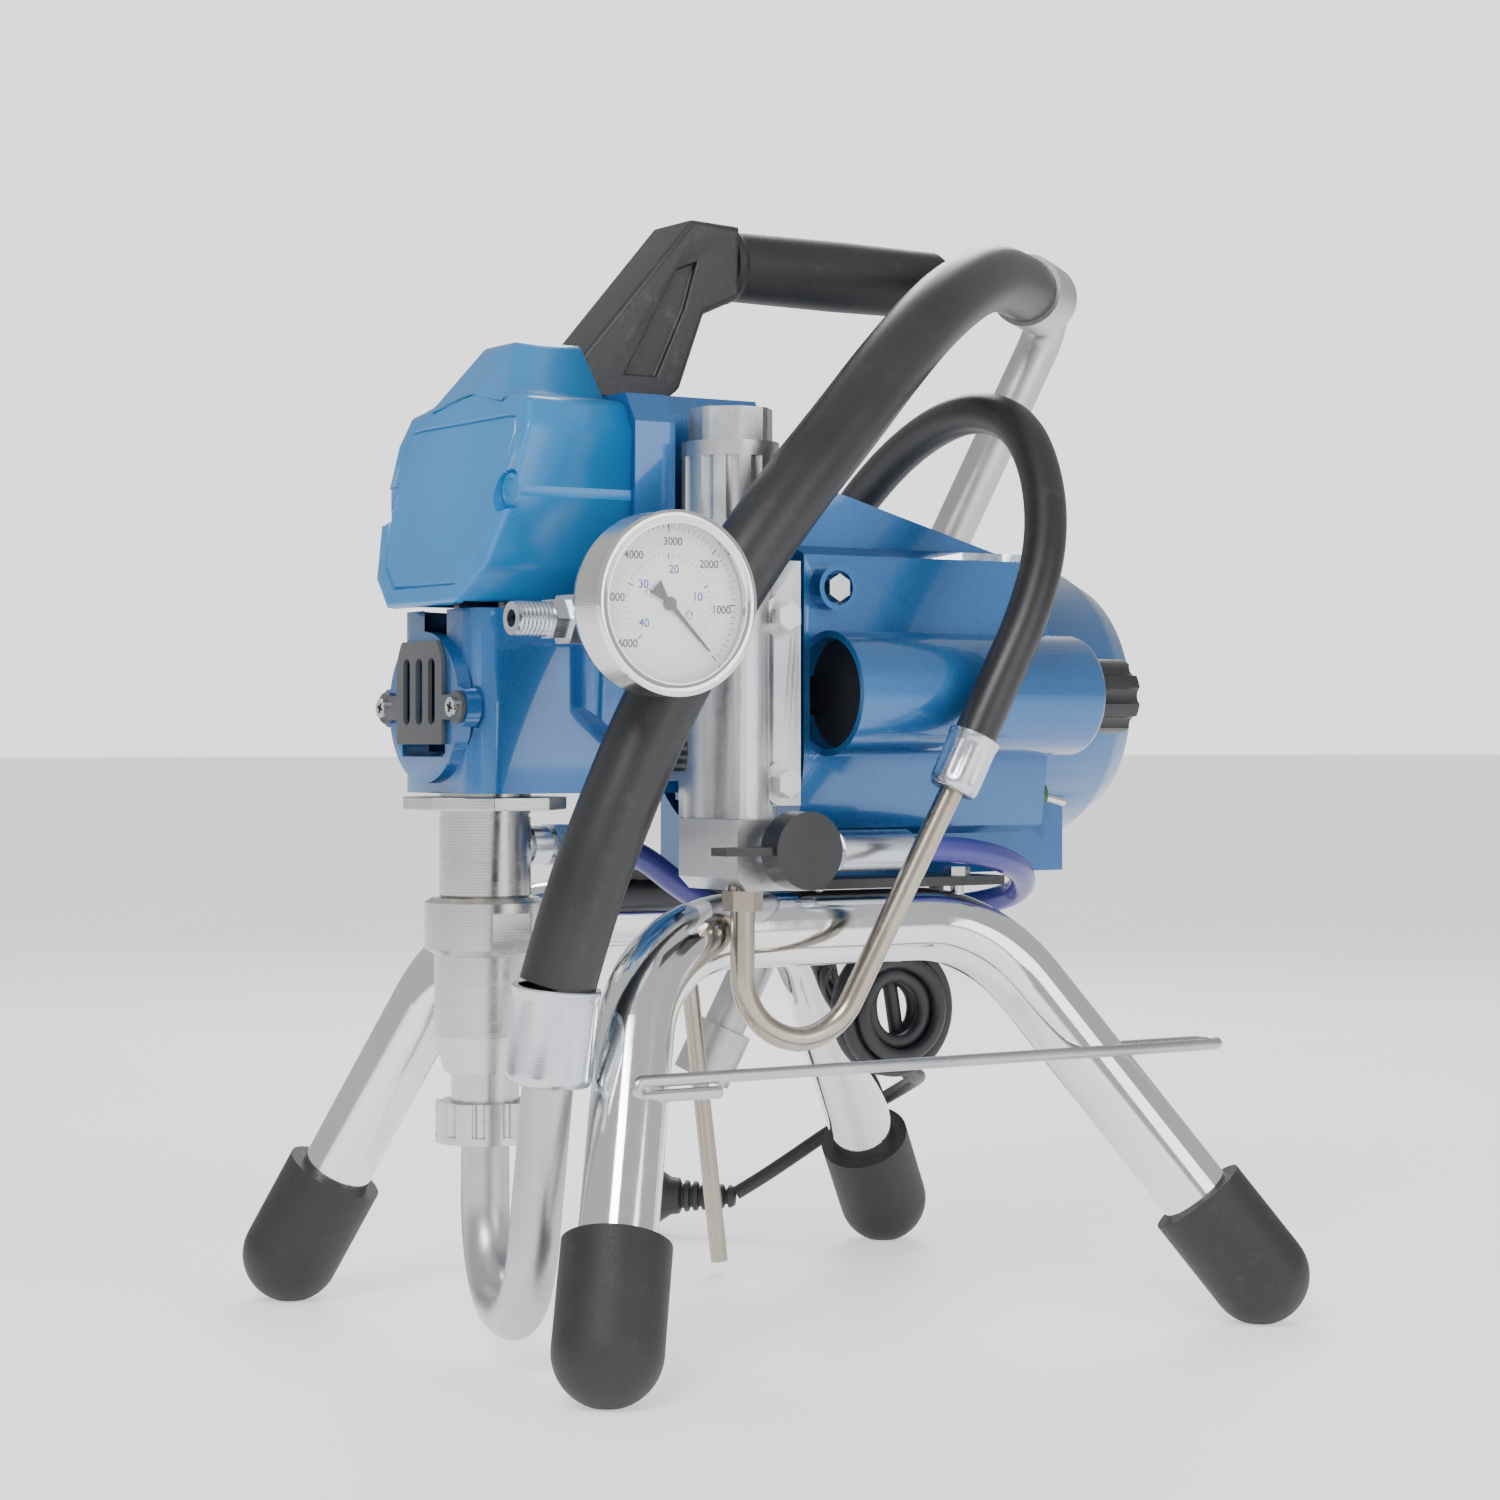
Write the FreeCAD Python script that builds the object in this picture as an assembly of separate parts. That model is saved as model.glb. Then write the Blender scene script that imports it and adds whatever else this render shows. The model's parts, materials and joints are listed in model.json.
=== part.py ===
import FreeCAD, Part
import math
import os
from FreeCAD import Vector

# Airless paint sprayer on a four-legged tube stand. Millimetres.
# +Z is up, -Y is the pump end, +Y the motor end and +X the manifold side.
# The origin is on the floor under the middle of the stand.

# ---- driving dimensions ----
FOOT_X, FOOT_Y_FRONT, FOOT_Y_REAR = 139.0, -178.0, 145.0
FRAME_X, FRAME_Z, FRAME_R = 72.0, 171.0, 15.5
BEND_Y_FRONT, BEND_Y_REAR = -122.0, 46.0
FRAME_WALL = 1.6
CAP_R, CAP_LENGTH = 21.5, 64.0
MOTOR_Z, MOTOR_R = 266.0, 62.0
MOTOR_Y0, MOTOR_Y1 = -42.0, 151.0
PUMP_Y = -155.0
CRANK_Z = 328.0
THROW = 10.0
CRANK_PIN_R = 6.0
CONTROL_X, CONTROL_Z, CONTROL_R = 80.0, 268.0, 26.0
CONTROL_Y0, CONTROL_Y1 = -38.0, 90.0
KNOB_R, KNOB_LENGTH = 16.5, 24.0
HANDLE_Z, HANDLE_R = 454.0, 15.5
MANIFOLD_X, MANIFOLD_Y = 66.0, -77.0
MANIFOLD_Z = 188.5
GAUGE = Vector(125.0, -152.0, 300.0)
GAUGE_R, GAUGE_DEPTH = 35.0, 22.0
POINTER_REST = -135.0
OUTLET_X, OUTLET_Z = 77.0, 296.0
PRIME = Vector(104.0, -78.0, 205.0)
REAR_PORT = Vector(83.0, -56.0, 203.0)
SUCTION_R, SUCTION_TUBE_R = 15.0, 10.0
DRAIN_HOSE_R, DRAIN_TUBE_R, RETURN_TUBE_R = 9.0, 4.9, 4.0
DRAIN_X, DRAIN_Y = 95.5, -90.0
BLUE_HOSE_R = 5.5
CORD_R = 3.5
GEAR_WIDTH = 8.0
RUN = 0.05
BASE_Z, BASE_THICK = 187.0, 4.0
SWITCH, SWITCH_TILT = Vector(57.0, 88.0, 225.0), 12.0

X, Y, Z = Vector(1, 0, 0), Vector(0, 1, 0), Vector(0, 0, 1)


# ---- small tools ----
def cyl(radius, length, base, direction=Z):
    return Part.makeCylinder(radius, length, Vector(*base), direction)


def ring(outer, inner, length, base, direction=Z):
    return cyl(outer, length, base, direction).cut(cyl(inner, length, base, direction))


def cone(r1, r2, length, base, direction=Z):
    return Part.makeCone(r1, r2, length, Vector(*base), direction)


def box(low, high):
    size = Vector(*high) - Vector(*low)
    return Part.makeBox(size.x, size.y, size.z, Vector(*low))


def prism(points, sweep):
    """A polygon of (x, y, z) corners pushed along the vector sweep."""
    corners = [Vector(*p) for p in points]
    return Part.Face(Part.makePolygon(corners + corners[:1])).extrude(Vector(*sweep))


def hexagon(across_flats, length, base, direction, turn=0.0):
    """A six-sided bar from base along direction."""
    base, direction = Vector(*base), Vector(*direction)
    rotation = FreeCAD.Rotation(Z, direction)
    radius = across_flats / math.sqrt(3.0)
    corners = []
    for k in range(6):
        angle = math.radians(60.0 * k + turn)
        corner = Vector(radius * math.cos(angle), radius * math.sin(angle), 0)
        corners.append(base + rotation.multVec(corner))
    face = Part.Face(Part.makePolygon(corners + corners[:1]))
    return face.extrude(direction.normalize() * length)


def turned(profile, centre, direction=Z):
    """A solid of revolution from (radius, height) pairs, about an axis through centre."""
    points = [Vector(r, 0, h) for r, h in profile]
    face = Part.Face(Part.makePolygon(points + points[:1]))
    solid = face.revolve(Vector(0, 0, 0), Z, 360)
    solid.Placement = FreeCAD.Placement(Vector(*centre), FreeCAD.Rotation(Z, Vector(*direction)))
    return solid


def rounded_path(points, radii):
    """Straight runs joined by tangent arcs, as one wire."""
    points = [Vector(*p) for p in points]
    edges, start = [], points[0]
    for k in range(1, len(points) - 1):
        back = (points[k - 1] - points[k]).normalize()
        ahead = (points[k + 1] - points[k]).normalize()
        turn = math.pi - back.getAngle(ahead)
        reach = radii[k - 1] * math.tan(turn / 2.0)
        first, last = points[k] + back * reach, points[k] + ahead * reach
        bisector = (back + ahead).normalize()
        middle = points[k] + bisector * (radii[k - 1] / math.cos(turn / 2.0) - radii[k - 1])
        if (first - start).Length > 1e-6:
            edges.append(Part.LineSegment(start, first).toShape())
        edges.append(Part.Arc(first, middle, last).toShape())
        start = last
    edges.append(Part.LineSegment(start, points[-1]).toShape())
    return Part.Wire(edges)


def swept(path, radius, start, direction):
    section = Part.Wire([Part.makeCircle(radius, Vector(*start), direction)])
    return path.makePipeShell([section], True, False)


def rod_along(points, radii, radius, bore=0.0):
    """A round bar or tube bent along the points."""
    direction = Vector(*points[1]) - Vector(*points[0])
    path = rounded_path(points, radii)
    solid = swept(path, radius, points[0], direction)
    if bore:
        solid = solid.cut(swept(path, bore, points[0], direction))
    return solid


def hose_radii(points):
    """The largest arc that each corner's two runs allow."""
    points = [Vector(*p) for p in points]
    radii = []
    for k in range(1, len(points) - 1):
        back, ahead = points[k - 1] - points[k], points[k + 1] - points[k]
        turn = math.pi - back.getAngle(ahead)
        radii.append(0.45 * min(back.Length, ahead.Length) / math.tan(turn / 2.0))
    return radii


def hose(name, points, radius):
    """A free hose or cord: prints its arcs and length, and returns its tube."""
    radii = hose_radii(points)
    path = rounded_path(points, radii)
    solid = rod_along(points, radii, radius)
    ratio = solid.Volume / (math.pi * radius * radius * path.Length)
    print(name, "length %.0f" % path.Length, "volume ratio %.4f" % ratio,
          "radii", [round(r) for r in radii])
    return solid


def fused(first, *others):
    return first.fuse(list(others)).removeSplitter()


PARTS = {}


def add(name, *solids):
    """Keep one node; several solids make a group of separate pieces."""
    PARTS[name] = solids[0] if len(solids) == 1 else Part.makeCompound(list(solids))


def mirrored(shape):
    return shape.mirror(Vector(0, 0, 0), X)


# ---- the stand ----
def foot_dome(side, y_foot):
    return Vector(side * FOOT_X, y_foot, CAP_R - 1.2)


def foot_cap(side, y_foot, y_bend):
    """A rubber cap with a domed end and a small flat to stand on."""
    dome = foot_dome(side, y_foot)
    down = (dome - Vector(side * FRAME_X, y_bend, FRAME_Z)).normalize()
    start = dome - down * (CAP_LENGTH - CAP_R)
    cap = fused(cyl(CAP_R, CAP_LENGTH - CAP_R, start, down), Part.makeSphere(CAP_R, dome))
    cap = cap.cut(box((dome.x - 60, dome.y - 60, -20), (dome.x + 60, dome.y + 60, 0)))
    return cap.cut(cyl(FRAME_R, CAP_LENGTH - CAP_R + 1.0, start - down, down))


def stand_route(side):
    return [foot_dome(side, FOOT_Y_FRONT), (side * FRAME_X, BEND_Y_FRONT, FRAME_Z),
            (side * FRAME_X, BEND_Y_REAR, FRAME_Z), foot_dome(side, FOOT_Y_REAR)]


def build_stand():
    feet = []
    for side, name in ((1, "near"), (-1, "far")):
        tube = rod_along(stand_route(side), [60.0, 60.0], FRAME_R, FRAME_R - FRAME_WALL)
        add("frame_tube_" + name, tube)
        feet.append(foot_cap(side, FOOT_Y_FRONT, BEND_Y_FRONT))
        feet.append(foot_cap(side, FOOT_Y_REAR, BEND_Y_REAR))
    add("rubber_feet", *feet)


def build_rack_and_base():
    """The wire rack on the near legs and the saddle plate under the motor."""
    wire = 2.5
    rack_x, rack_z = 113.4, 117.0
    rack = rod_along(
        [(rack_x - 13, 96, rack_z), (rack_x - 13, 147, rack_z), (rack_x, 147, rack_z), (rack_x, -150,
            rack_z),
         (rack_x, -150, rack_z - 6), (rack_x, -112, rack_z - 6)], [6.4, 6.4, 2.95, 2.95], wire)
    solid_leg = rod_along(stand_route(1), [60.0, 60.0], FRAME_R)
    add("tool_rack", rack.cut(solid_leg))
    base = box((-78, -48, BASE_Z), (78, 55, BASE_Z + BASE_THICK))
    bolts = []
    for x in (-FRAME_X, FRAME_X):
        for y in (-38, 50 - 16):
            shank_hole = cyl(2.9, 14.0, (x, y, BASE_Z - 9.0))
            bolts.append(fused(shank_hole, hexagon(10.0, 4.0, (x, y, BASE_Z + BASE_THICK), Z)))
            base = base.cut(shank_hole)
            tube = "frame_tube_near" if x > 0 else "frame_tube_far"
            PARTS[tube] = PARTS[tube].cut(shank_hole)
    add("motor_base", base)
    add("base_bolts", *bolts)


# ---- gearbox housing, front cover and grille ----
def soften(shape, radius, wanted):
    """Round the edges whose middle point passes the test."""
    edges = [e for e in shape.Edges if wanted(e.CenterOfMass)]
    return shape.makeFillet(radius, edges)


def symmetric(half):
    """Close a half outline of (x, z) corners about x = 0."""
    return half + [(-x, z) for x, z in reversed(half)]


def cover_body(inset):
    """The front cover's block, shrunk by inset on every face but the back one."""
    half = [(30, 303), (47, 316), (56, 342), (57, 374), (51, 386), (33, 389), (14, 413)]
    outline = [(x - inset * (1 if x > 0 else -1), z + (inset if z < 330 else -inset)) for x,
               z in symmetric(half)]
    block = prism([(x, -200, z) for x, z in outline], (0, 200 - 118, 0))
    side = [(-118, 300), (-187 + inset, 300), (-163 + inset, 388), (-147 + inset, 415), (-118, 415)]
    return block.common(prism([(-70, y, z) for y, z in side], (140, 0, 0)))


def build_housing():
    rear = prism([(-50, -99, 262), (-61, -99, 285), (-61, -99, 380), (-54, -99, 392), (34, -99, 392),
                  (40, -99, 384), (40, -99, 227), (-36, -99, 227)], (0, 55, 0))
    collar = prism([(x, -118, z) for x, z in symmetric([(44, 272), (58, 292), (59, 378), (51, 390)])], (0,
        19, 0))
    low = box((-35, -178, 227), (35, -60, 302))
    low = soften(low, 12.0, lambda c: abs(c.x) > 30 and c.y < -170)
    flare = prism([(-46, -132, 302), (-46, -101, 302), (-46, -101, 236), (-46, -132, 262)], (92, 0, 0))
    flare = soften(flare, 8.0, lambda c: abs(c.x) > 45 and c.y < -120)
    boss = cyl(31.0, 6.0, (0, -183.5, 262), Y)
    lugs = [cyl(8.0, 6.0, (x, -183.5, 262), Y) for x in (-31, 31)]
    block = fused(rear, collar, low, flare, boss, *lugs)
    gear_room = box((-57, -119, 262), (36.5, -52, 384)).fuse(box((30, -119, 285), (52, -103, 380)))
    shaft_room = box((-40, -100, 246), (36, -52, 290))
    rod_room = cyl(25.0, 62.0, (0, PUMP_Y, 244))
    rod_room = rod_room.fuse(cyl(19.04, 20.0, (0, PUMP_Y, 226)))
    window = box((-19, -186, 242), (19, -165, 283))
    block = block.cut(gear_room).cut(shaft_room).cut(rod_room).cut(window)
    block = block.cut(cyl(16.0, 20.0, (0, -60, MOTOR_Z), Y))
    block = block.cut(cyl(6.05, 12.0, (0, -53, CRANK_Z), Y))
    for x in (-31, 31):
        block = block.cut(cyl(2.0, 12.0, (x, -186, 262), Y))
    add("drive_housing", block)

    shell = cover_body(0.0).cut(cover_body(3.0)).cut(box((-27, -174, 300), (27, -117, 308)))
    screws = []
    for x in (-49, 49):
        shell = shell.fuse(cyl(7.5, 52.0, (x, -170, 348), Y)).removeSplitter()
        shell = shell.cut(cyl(5.0, 16.0, (x, -182, 348), Y))
        shell = shell.cut(cyl(2.05, 60.0, (x, -170, 348), Y))
        head = cyl(4.0, 3.0, (x, -169.0, 348), Y).cut(hexagon(3.6, 2.0, (x, -169.2, 348), (0, 1, 0)))
        screws.append(fused(head, cyl(2.0, 58.0, (x, -166.0, 348), Y)))
        PARTS["drive_housing"] = PARTS["drive_housing"].cut(cyl(2.05, 14.0, (x, -120, 348), Y))
    add("front_cover", shell)
    add("front_cover_screws", *screws)


def build_grille():
    """The slotted black plate over the window in front of the pump rod."""
    y = -185.7
    plate = box((-20, y, 247), (20, y + 2, 276)).fuse(cyl(20, 2, (0, y, 276), Y))
    plate = plate.common(box((-20, y, 247), (20, y + 2, 289)))
    for x in (-31, 31):
        plate = plate.fuse(cyl(6.5, 2, (x, y, 262), Y)).fuse(box((min(x, 0), y, 257), (max(x, 0), y + 2,
            267)))
    plate = plate.removeSplitter()
    for x in (-11, 0, 11):
        slot = box((x - 3, y - 1, 258), (x + 3, y + 4, 279))
        slot = slot.fuse(cyl(3, 5, (x, y - 1, 258), Y)).fuse(cyl(3, 5, (x, y - 1, 279), Y))
        plate = plate.cut(slot)
    screws = []
    for x in (-31, 31):
        plate = plate.cut(cyl(2.05, 4, (x, y - 1, 262), Y))
        screws.append(fused(cyl(3.9, 2.2, (x, y - 2.2, 262), Y), cyl(1.98, 9.5, (x, y, 262), Y)))
    add("rod_grille", plate)
    add("grille_screws", *screws)


# ---- gear train, crank and pump rod ----
def spur_gear(module, teeth, width, centre):
    """A spur gear with plain trapezoid teeth, its axis along Y."""
    pitch = module * teeth / 2.0
    root, tip = pitch - 1.2 * module, pitch + 0.9 * module
    step = 2.0 * math.pi / teeth
    points = []
    for k in range(teeth):
        for radius, part in ((root, -0.30), (tip, -0.10), (tip, 0.10), (root, 0.30)):
            angle = (k + part) * step
            points.append((centre[0] + radius * math.sin(angle), centre[1], centre[2] + radius
                           * math.cos(angle)))
    return prism(points, (0, width, 0))


PINION_TEETH, WHEEL_TEETH, WHEEL_MODULE = 12, 46, 1.25
SMALL_TEETH, CRANK_TEETH, CRANK_MODULE = 14, 44, 1.5


def cluster_centre():
    """Where the reduction shaft meshes with both the motor pinion and the crank gear."""
    to_motor = WHEEL_MODULE * (PINION_TEETH + WHEEL_TEETH) / 2.0
    to_crank = CRANK_MODULE * (SMALL_TEETH + CRANK_TEETH) / 2.0
    apart = CRANK_Z - MOTOR_Z
    up = (to_motor ** 2 - to_crank ** 2 + apart ** 2) / (2.0 * apart)
    return -math.sqrt(to_motor ** 2 - up ** 2), MOTOR_Z + up


def mesh_turn(centre, other, own_teeth, other_teeth):
    """Degrees that put a tooth gap of a gear at the tooth of the other, whose tooth points up."""
    bearing = math.degrees(math.atan2(other[0] - centre[0], other[1] - centre[1]))
    own_step, other_step = 360.0 / own_teeth, 360.0 / other_teeth
    other_phase = ((bearing + 180.0) % other_step) / other_step
    return bearing + own_step * (0.5 + other_phase)


def build_gears():
    cx, cz = cluster_centre()
    crank_y, wheel_y = -100.0, -76.0
    crank_gear = spur_gear(CRANK_MODULE, CRANK_TEETH, GEAR_WIDTH + 2, (0, crank_y, CRANK_Z))
    crank = fused(crank_gear, cyl(6.0, 41.0, (0, -90, CRANK_Z), Y), cyl(17.0, 16.0, (0, -116, CRANK_Z), Y))
    crank = fused(crank, cyl(CRANK_PIN_R, 44.0, (0, -159, CRANK_Z + THROW), Y))
    add("crankshaft_gear", crank)

    small = spur_gear(CRANK_MODULE, SMALL_TEETH, GEAR_WIDTH + 2, (0, 0, 0))
    small.rotate(Vector(0, 0, 0), Y, mesh_turn((cx, cz), (0, CRANK_Z), SMALL_TEETH, CRANK_TEETH))
    small.translate(Vector(cx, crank_y, cz))
    wheel = spur_gear(WHEEL_MODULE, WHEEL_TEETH, GEAR_WIDTH, (0, 0, 0))
    wheel.translate(Vector(cx, wheel_y, cz))
    shaft = cyl(4.0, 60.0, (cx, -113, cz), Y)
    add("reduction_gear", fused(small, wheel, shaft, cyl(7.0, 16.0, (cx, -91, cz), Y)))
    housing = PARTS["drive_housing"]
    housing = housing.fuse(ring(8.0, 4.05, 8.0, (cx, -60, cz), Y)).cut(cyl(4.05, 20.0, (cx, -66, cz), Y))
    bridge = box((-57, -117, cz - 9), (cx + 9, -110, cz + 9))
    bridge = bridge.cut(cyl(4.05, 40.0, (cx, -130, cz), Y)).cut(cyl(18.5, 12.0, (0, -118, CRANK_Z), Y))
    add("gear_bearing_bracket", bridge)
    housing = housing.fuse(ring(17.0, 6.05, 10.0, (0, -62, CRANK_Z), Y)).removeSplitter()
    PARTS["drive_housing"] = housing.cut(cyl(13.0, 9.0, (0, -62, CRANK_Z), Y))
    add("crank_bearing", ring(13.0, 6.0 + RUN, 9.0, (0, -62, CRANK_Z), Y))
    return cx, cz


def build_pump_rod():
    """The yoke that the crank pin drives, the displacement rod and its piston."""
    across, high = 2 * (THROW + CRANK_PIN_R) + 2, 4 * THROW + 2 * CRANK_PIN_R + 2
    wall, y0, y1 = 5.0, -158.0, -147.0
    yoke = box((-across / 2 - wall, y0, CRANK_Z - high / 2 - wall), (across / 2 + wall, y1, CRANK_Z
        + high / 2 + wall))
    yoke = yoke.cut(box((-across / 2, y0 - 1, CRANK_Z - high / 2), (across / 2, y1 + 1, CRANK_Z + high / 2)))
    foot = CRANK_Z - high / 2 - wall
    crosshead = cyl(15.0, 30.0, (0, PUMP_Y, foot - 30.0))
    pin_hole = cyl(4.0, 40.0, (0, PUMP_Y - 20, foot - 18.0), Y)
    socket = cyl(8.0, 22.0, (0, PUMP_Y, foot - 30.0))
    add("crank_yoke", yoke.fuse(crosshead).removeSplitter().cut(pin_hole).cut(socket))
    rod = cyl(8.0, foot - 8.0 - 192.0, (0, PUMP_Y, 192.0)).cut(pin_hole)
    rod = rod.cut(cyl(5.5, 6.0, (0, PUMP_Y, 192.0)))
    piston = turned([(3.5, 180), (12 - RUN, 180), (12 - RUN, 188), (10, 188), (10, 198), (5.5, 198), (5.5,
        186),
                     (3.5, 186)], (0, PUMP_Y, 0))
    rod = rod.fuse(piston).removeSplitter()
    add("displacement_rod", rod)
    add("pump_pin", cyl(4.0, 27.0, (0, PUMP_Y - 13.5, foot - 18.0), Y))
    add("piston_ball", Part.makeSphere(4.5, Vector(0, PUMP_Y, 188.9)))


# ---- fluid pump ----
def build_pump():
    centre = (0, PUMP_Y, 0)
    lock = prism([(34 * math.cos(math.radians(45 * k + 22.5)), PUMP_Y + 34
                   * math.sin(math.radians(45 * k + 22.5)), 220)
                  for k in range(8)], (0, 0, 5.5))
    lock = lock.cut(cyl(19.05, 10, (0, PUMP_Y, 218)))
    add("pump_lock_ring", lock)
    cylinder = turned([(12, 176), (18.2, 176), (18.2, 184), (19, 185), (19, 243), (12, 243)], centre)
    cylinder = cylinder.cut(cyl(6.0, 12.0, (0, PUMP_Y + 10, 205), Y))
    groove = ring(20, 18.4, 1.6, (0, PUMP_Y, 217))
    add("pump_cylinder", cylinder.cut(groove))
    add("packing_nut", turned([(8 + RUN, 234), (12, 234), (12, 243.2), (17, 243.2), (17, 246), (8 + RUN,
        246)], centre))
    add("packing_seals", *[ring(11.96, 8 + RUN, 4.0, (0, PUMP_Y, z)) for z in (220, 225, 230)])
    intake = turned([(10, 120), (14, 112), (17, 112), (21, 127), (21, 160), (25, 163), (25, 182), (22, 184),
                     (18.25, 184), (18.25, 170), (10, 166)], centre)
    for side in (1, -1):
        flat_x = side * 22.5
        tool = box((min(flat_x, side * 30), PUMP_Y - 9, 152), (max(flat_x, side * 30), PUMP_Y + 9, 178))
        intake = intake.cut(tool)
    intake = intake.fuse(ring(14, 8.5, 16, (0, PUMP_Y, 98))).removeSplitter()
    add("intake_housing", intake)
    add("intake_seat", turned([(5.5, 121), (9.95, 121), (9.95, 128), (6.6, 128)], centre))
    add("intake_ball", Part.makeSphere(7.0, Vector(0, PUMP_Y, 130.6)))
    cage = ring(9.95, 8.4, 22, (0, PUMP_Y, 129)).fuse(ring(9.95, 4.0, 2.5,
                                                           (0, PUMP_Y, 143))).removeSplitter()
    add("intake_ball_cage", cage)

    nut = ring(20.5, 14.05, 14.0, (0, PUMP_Y, 86))
    for k in range(10):
        angle = math.radians(36 * k)
        notch = cyl(3.2, 20, (22 * math.cos(angle), PUMP_Y + 22 * math.sin(angle), 84))
        nut = nut.cut(notch)
    nut = nut.fuse(ring(20.5, 10.2, 3.0, (0, PUMP_Y, 83.2))).removeSplitter()
    add("suction_union_nut", nut)
    u_points = [(0, PUMP_Y, 97.6), (0, PUMP_Y, 20.5), (80, -180, 20.5), (90, -176, 116.0)]
    u_tube = rod_along(u_points, [39.0, 35.0], SUCTION_TUBE_R, SUCTION_TUBE_R - 1.5)
    collar = ring(13.5, 8.6, 8.0, (0, PUMP_Y, 89.4))
    add("suction_u_tube", u_tube.fuse(collar.cut(cyl(9.0, 20, (0, PUMP_Y, 85)))).removeSplitter())
    return u_points[-1]


# ---- motor and controls ----
def build_motor():
    centre = (0, 0, MOTOR_Z)
    shell = turned([(MOTOR_R, 0), (MOTOR_R, 172), (56, 185), (40, 192), (0, 193.5), (0, 0)], (0, MOTOR_Y0,
        MOTOR_Z), Y)
    pad = box((-46, MOTOR_Y0, 191), (46, 112, 240))
    side = prism([(30, MOTOR_Y0, 205), (64, MOTOR_Y0, 212), (68, MOTOR_Y0, 240), (68, MOTOR_Y0, 326),
                  (58, MOTOR_Y0, 330), (20, MOTOR_Y0, 331)], (0, 128, 0))
    gusset = prism([(30, MOTOR_Y0, 322), (30, MOTOR_Y0, 360), (30, -8, 352), (30, 86, 326), (30, 86, 320)],
                   (22, 0, 0))
    control = cyl(CONTROL_R, CONTROL_Y1 - CONTROL_Y0, (CONTROL_X, CONTROL_Y0, CONTROL_Z), Y)
    control = soften(control, 4.0, lambda c: c.y > CONTROL_Y1 - 1)
    cover = fused(shell, pad, side, gusset, control)
    inside = turned([(59, 0), (59, 170), (53, 182), (38, 189), (0, 190.5), (0, 0)], (0, MOTOR_Y0 - 0.01,
        MOTOR_Z), Y)
    cover = cover.cut(inside).cut(cyl(CONTROL_R - 3, 125, (CONTROL_X, CONTROL_Y0 - 1, CONTROL_Z), Y))
    for angle in range(0, 360, 30):
        c, s = math.cos(math.radians(angle)), math.sin(math.radians(angle))
        vent = cyl(4.0, 20.0, (32 * c, MOTOR_Y1 - 12, MOTOR_Z + 32 * s), Y)
        cover = cover.cut(vent)
    boss = cyl(9.5, 10.0, (66.0, -30.0, 312.0), X)
    cover = cover.fuse(boss).removeSplitter().cut(cyl(7.2, 8.0, (70.0, -30.0, 312.0), X))
    cover = cover.cut(cyl(3.02, 30.0, (50.0, -30.0, 312.0), X))
    cover = cover.cut(cyl(6.02, 20.0, (CONTROL_X, CONTROL_Y1 - 6, CONTROL_Z), Y))
    cover = cover.cut(box((41, 60, 245), (52, 88, 275)))
    add("motor_cover", cover)
    add("cover_bolt", fused(hexagon(10, 6.0, (71.0, -30.0, 312.0), X), cyl(3.0, 14.0, (58.0, -30.0, 312.0),
        X)))

    add("motor_can", ring(55.0, 51.0, 138.0, (0, -40, MOTOR_Z), Y))
    magnets = []
    for turn in (45, 225):
        arc = ring(50.95, 43.0, 80.0, (0, 0, 0), Y)
        wedge = prism([(0, 0, 0), (80, 0, -45), (80, 0, 45)], (0, 80, 0))
        magnet = arc.common(wedge)
        magnet.rotate(Vector(0, 0, 0), Y, turn)
        magnet.translate(Vector(0, -20, MOTOR_Z))
        magnets.append(magnet)
    add("field_magnets", *magnets)
    end_bell = ring(50.95, 11.0, 5.0, (0, -40, MOTOR_Z), Y)
    add("motor_end_bell", end_bell)
    add("armature_bearing_front", ring(11.0, 5.0 + RUN, 8.0, (0, -41.0, MOTOR_Z), Y))
    rear_plate = ring(50.95, 11.0, 5.0, (0, 90, MOTOR_Z), Y)
    add("motor_rear_plate", rear_plate)
    add("armature_bearing_rear", ring(11.0, 5.0 + RUN, 8.0, (0, 88.0, MOTOR_Z), Y))
    shaft = cyl(5.0, 182.0, (0, -62, MOTOR_Z), Y)
    core = ring(41.0, 5.0, 68.0, (0, -14, MOTOR_Z), Y)
    for k in range(12):
        angle = math.radians(30 * k)
        slot = cyl(3.0, 70.0, (39.5 * math.sin(angle), -15, MOTOR_Z + 39.5 * math.cos(angle)), Y)
        core = core.cut(slot)
    commutator = ring(18.0, 5.0, 16.0, (0, 60, MOTOR_Z), Y)
    brushes = [box((x - 12, 64, MOTOR_Z - 5), (x + 12, 72, MOTOR_Z + 5)) for x in (31, -31)]
    add("brushes", *brushes)
    fan = ring(8.0, 5.0, 12.0, (0, 100, MOTOR_Z), Y).fuse(ring(38.0, 5.0, 2.0, (0, 100, MOTOR_Z), Y))
    for k in range(8):
        blade = box((-1, 101.5, 6.5), (1, 111, 37))
        blade.rotate(Vector(0, 0, 0), Y, 45 * k)
        blade.translate(Vector(0, 0, MOTOR_Z))
        fan = fan.fuse(blade)
    add("cooling_fan", fan.removeSplitter())
    pinion = spur_gear(WHEEL_MODULE, PINION_TEETH, GEAR_WIDTH, (0, 0, 0))
    cx, cz = cluster_centre()
    pinion.rotate(Vector(0, 0, 0), Y, mesh_turn((0, MOTOR_Z), (cx, cz), PINION_TEETH, WHEEL_TEETH))
    pinion.translate(Vector(0, -76, MOTOR_Z))
    add("armature_shaft", fused(shaft, cyl(5.0, 8.0, (0, -69, MOTOR_Z), Y), pinion))
    add("armature_core", core)
    add("commutator", commutator)


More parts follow.
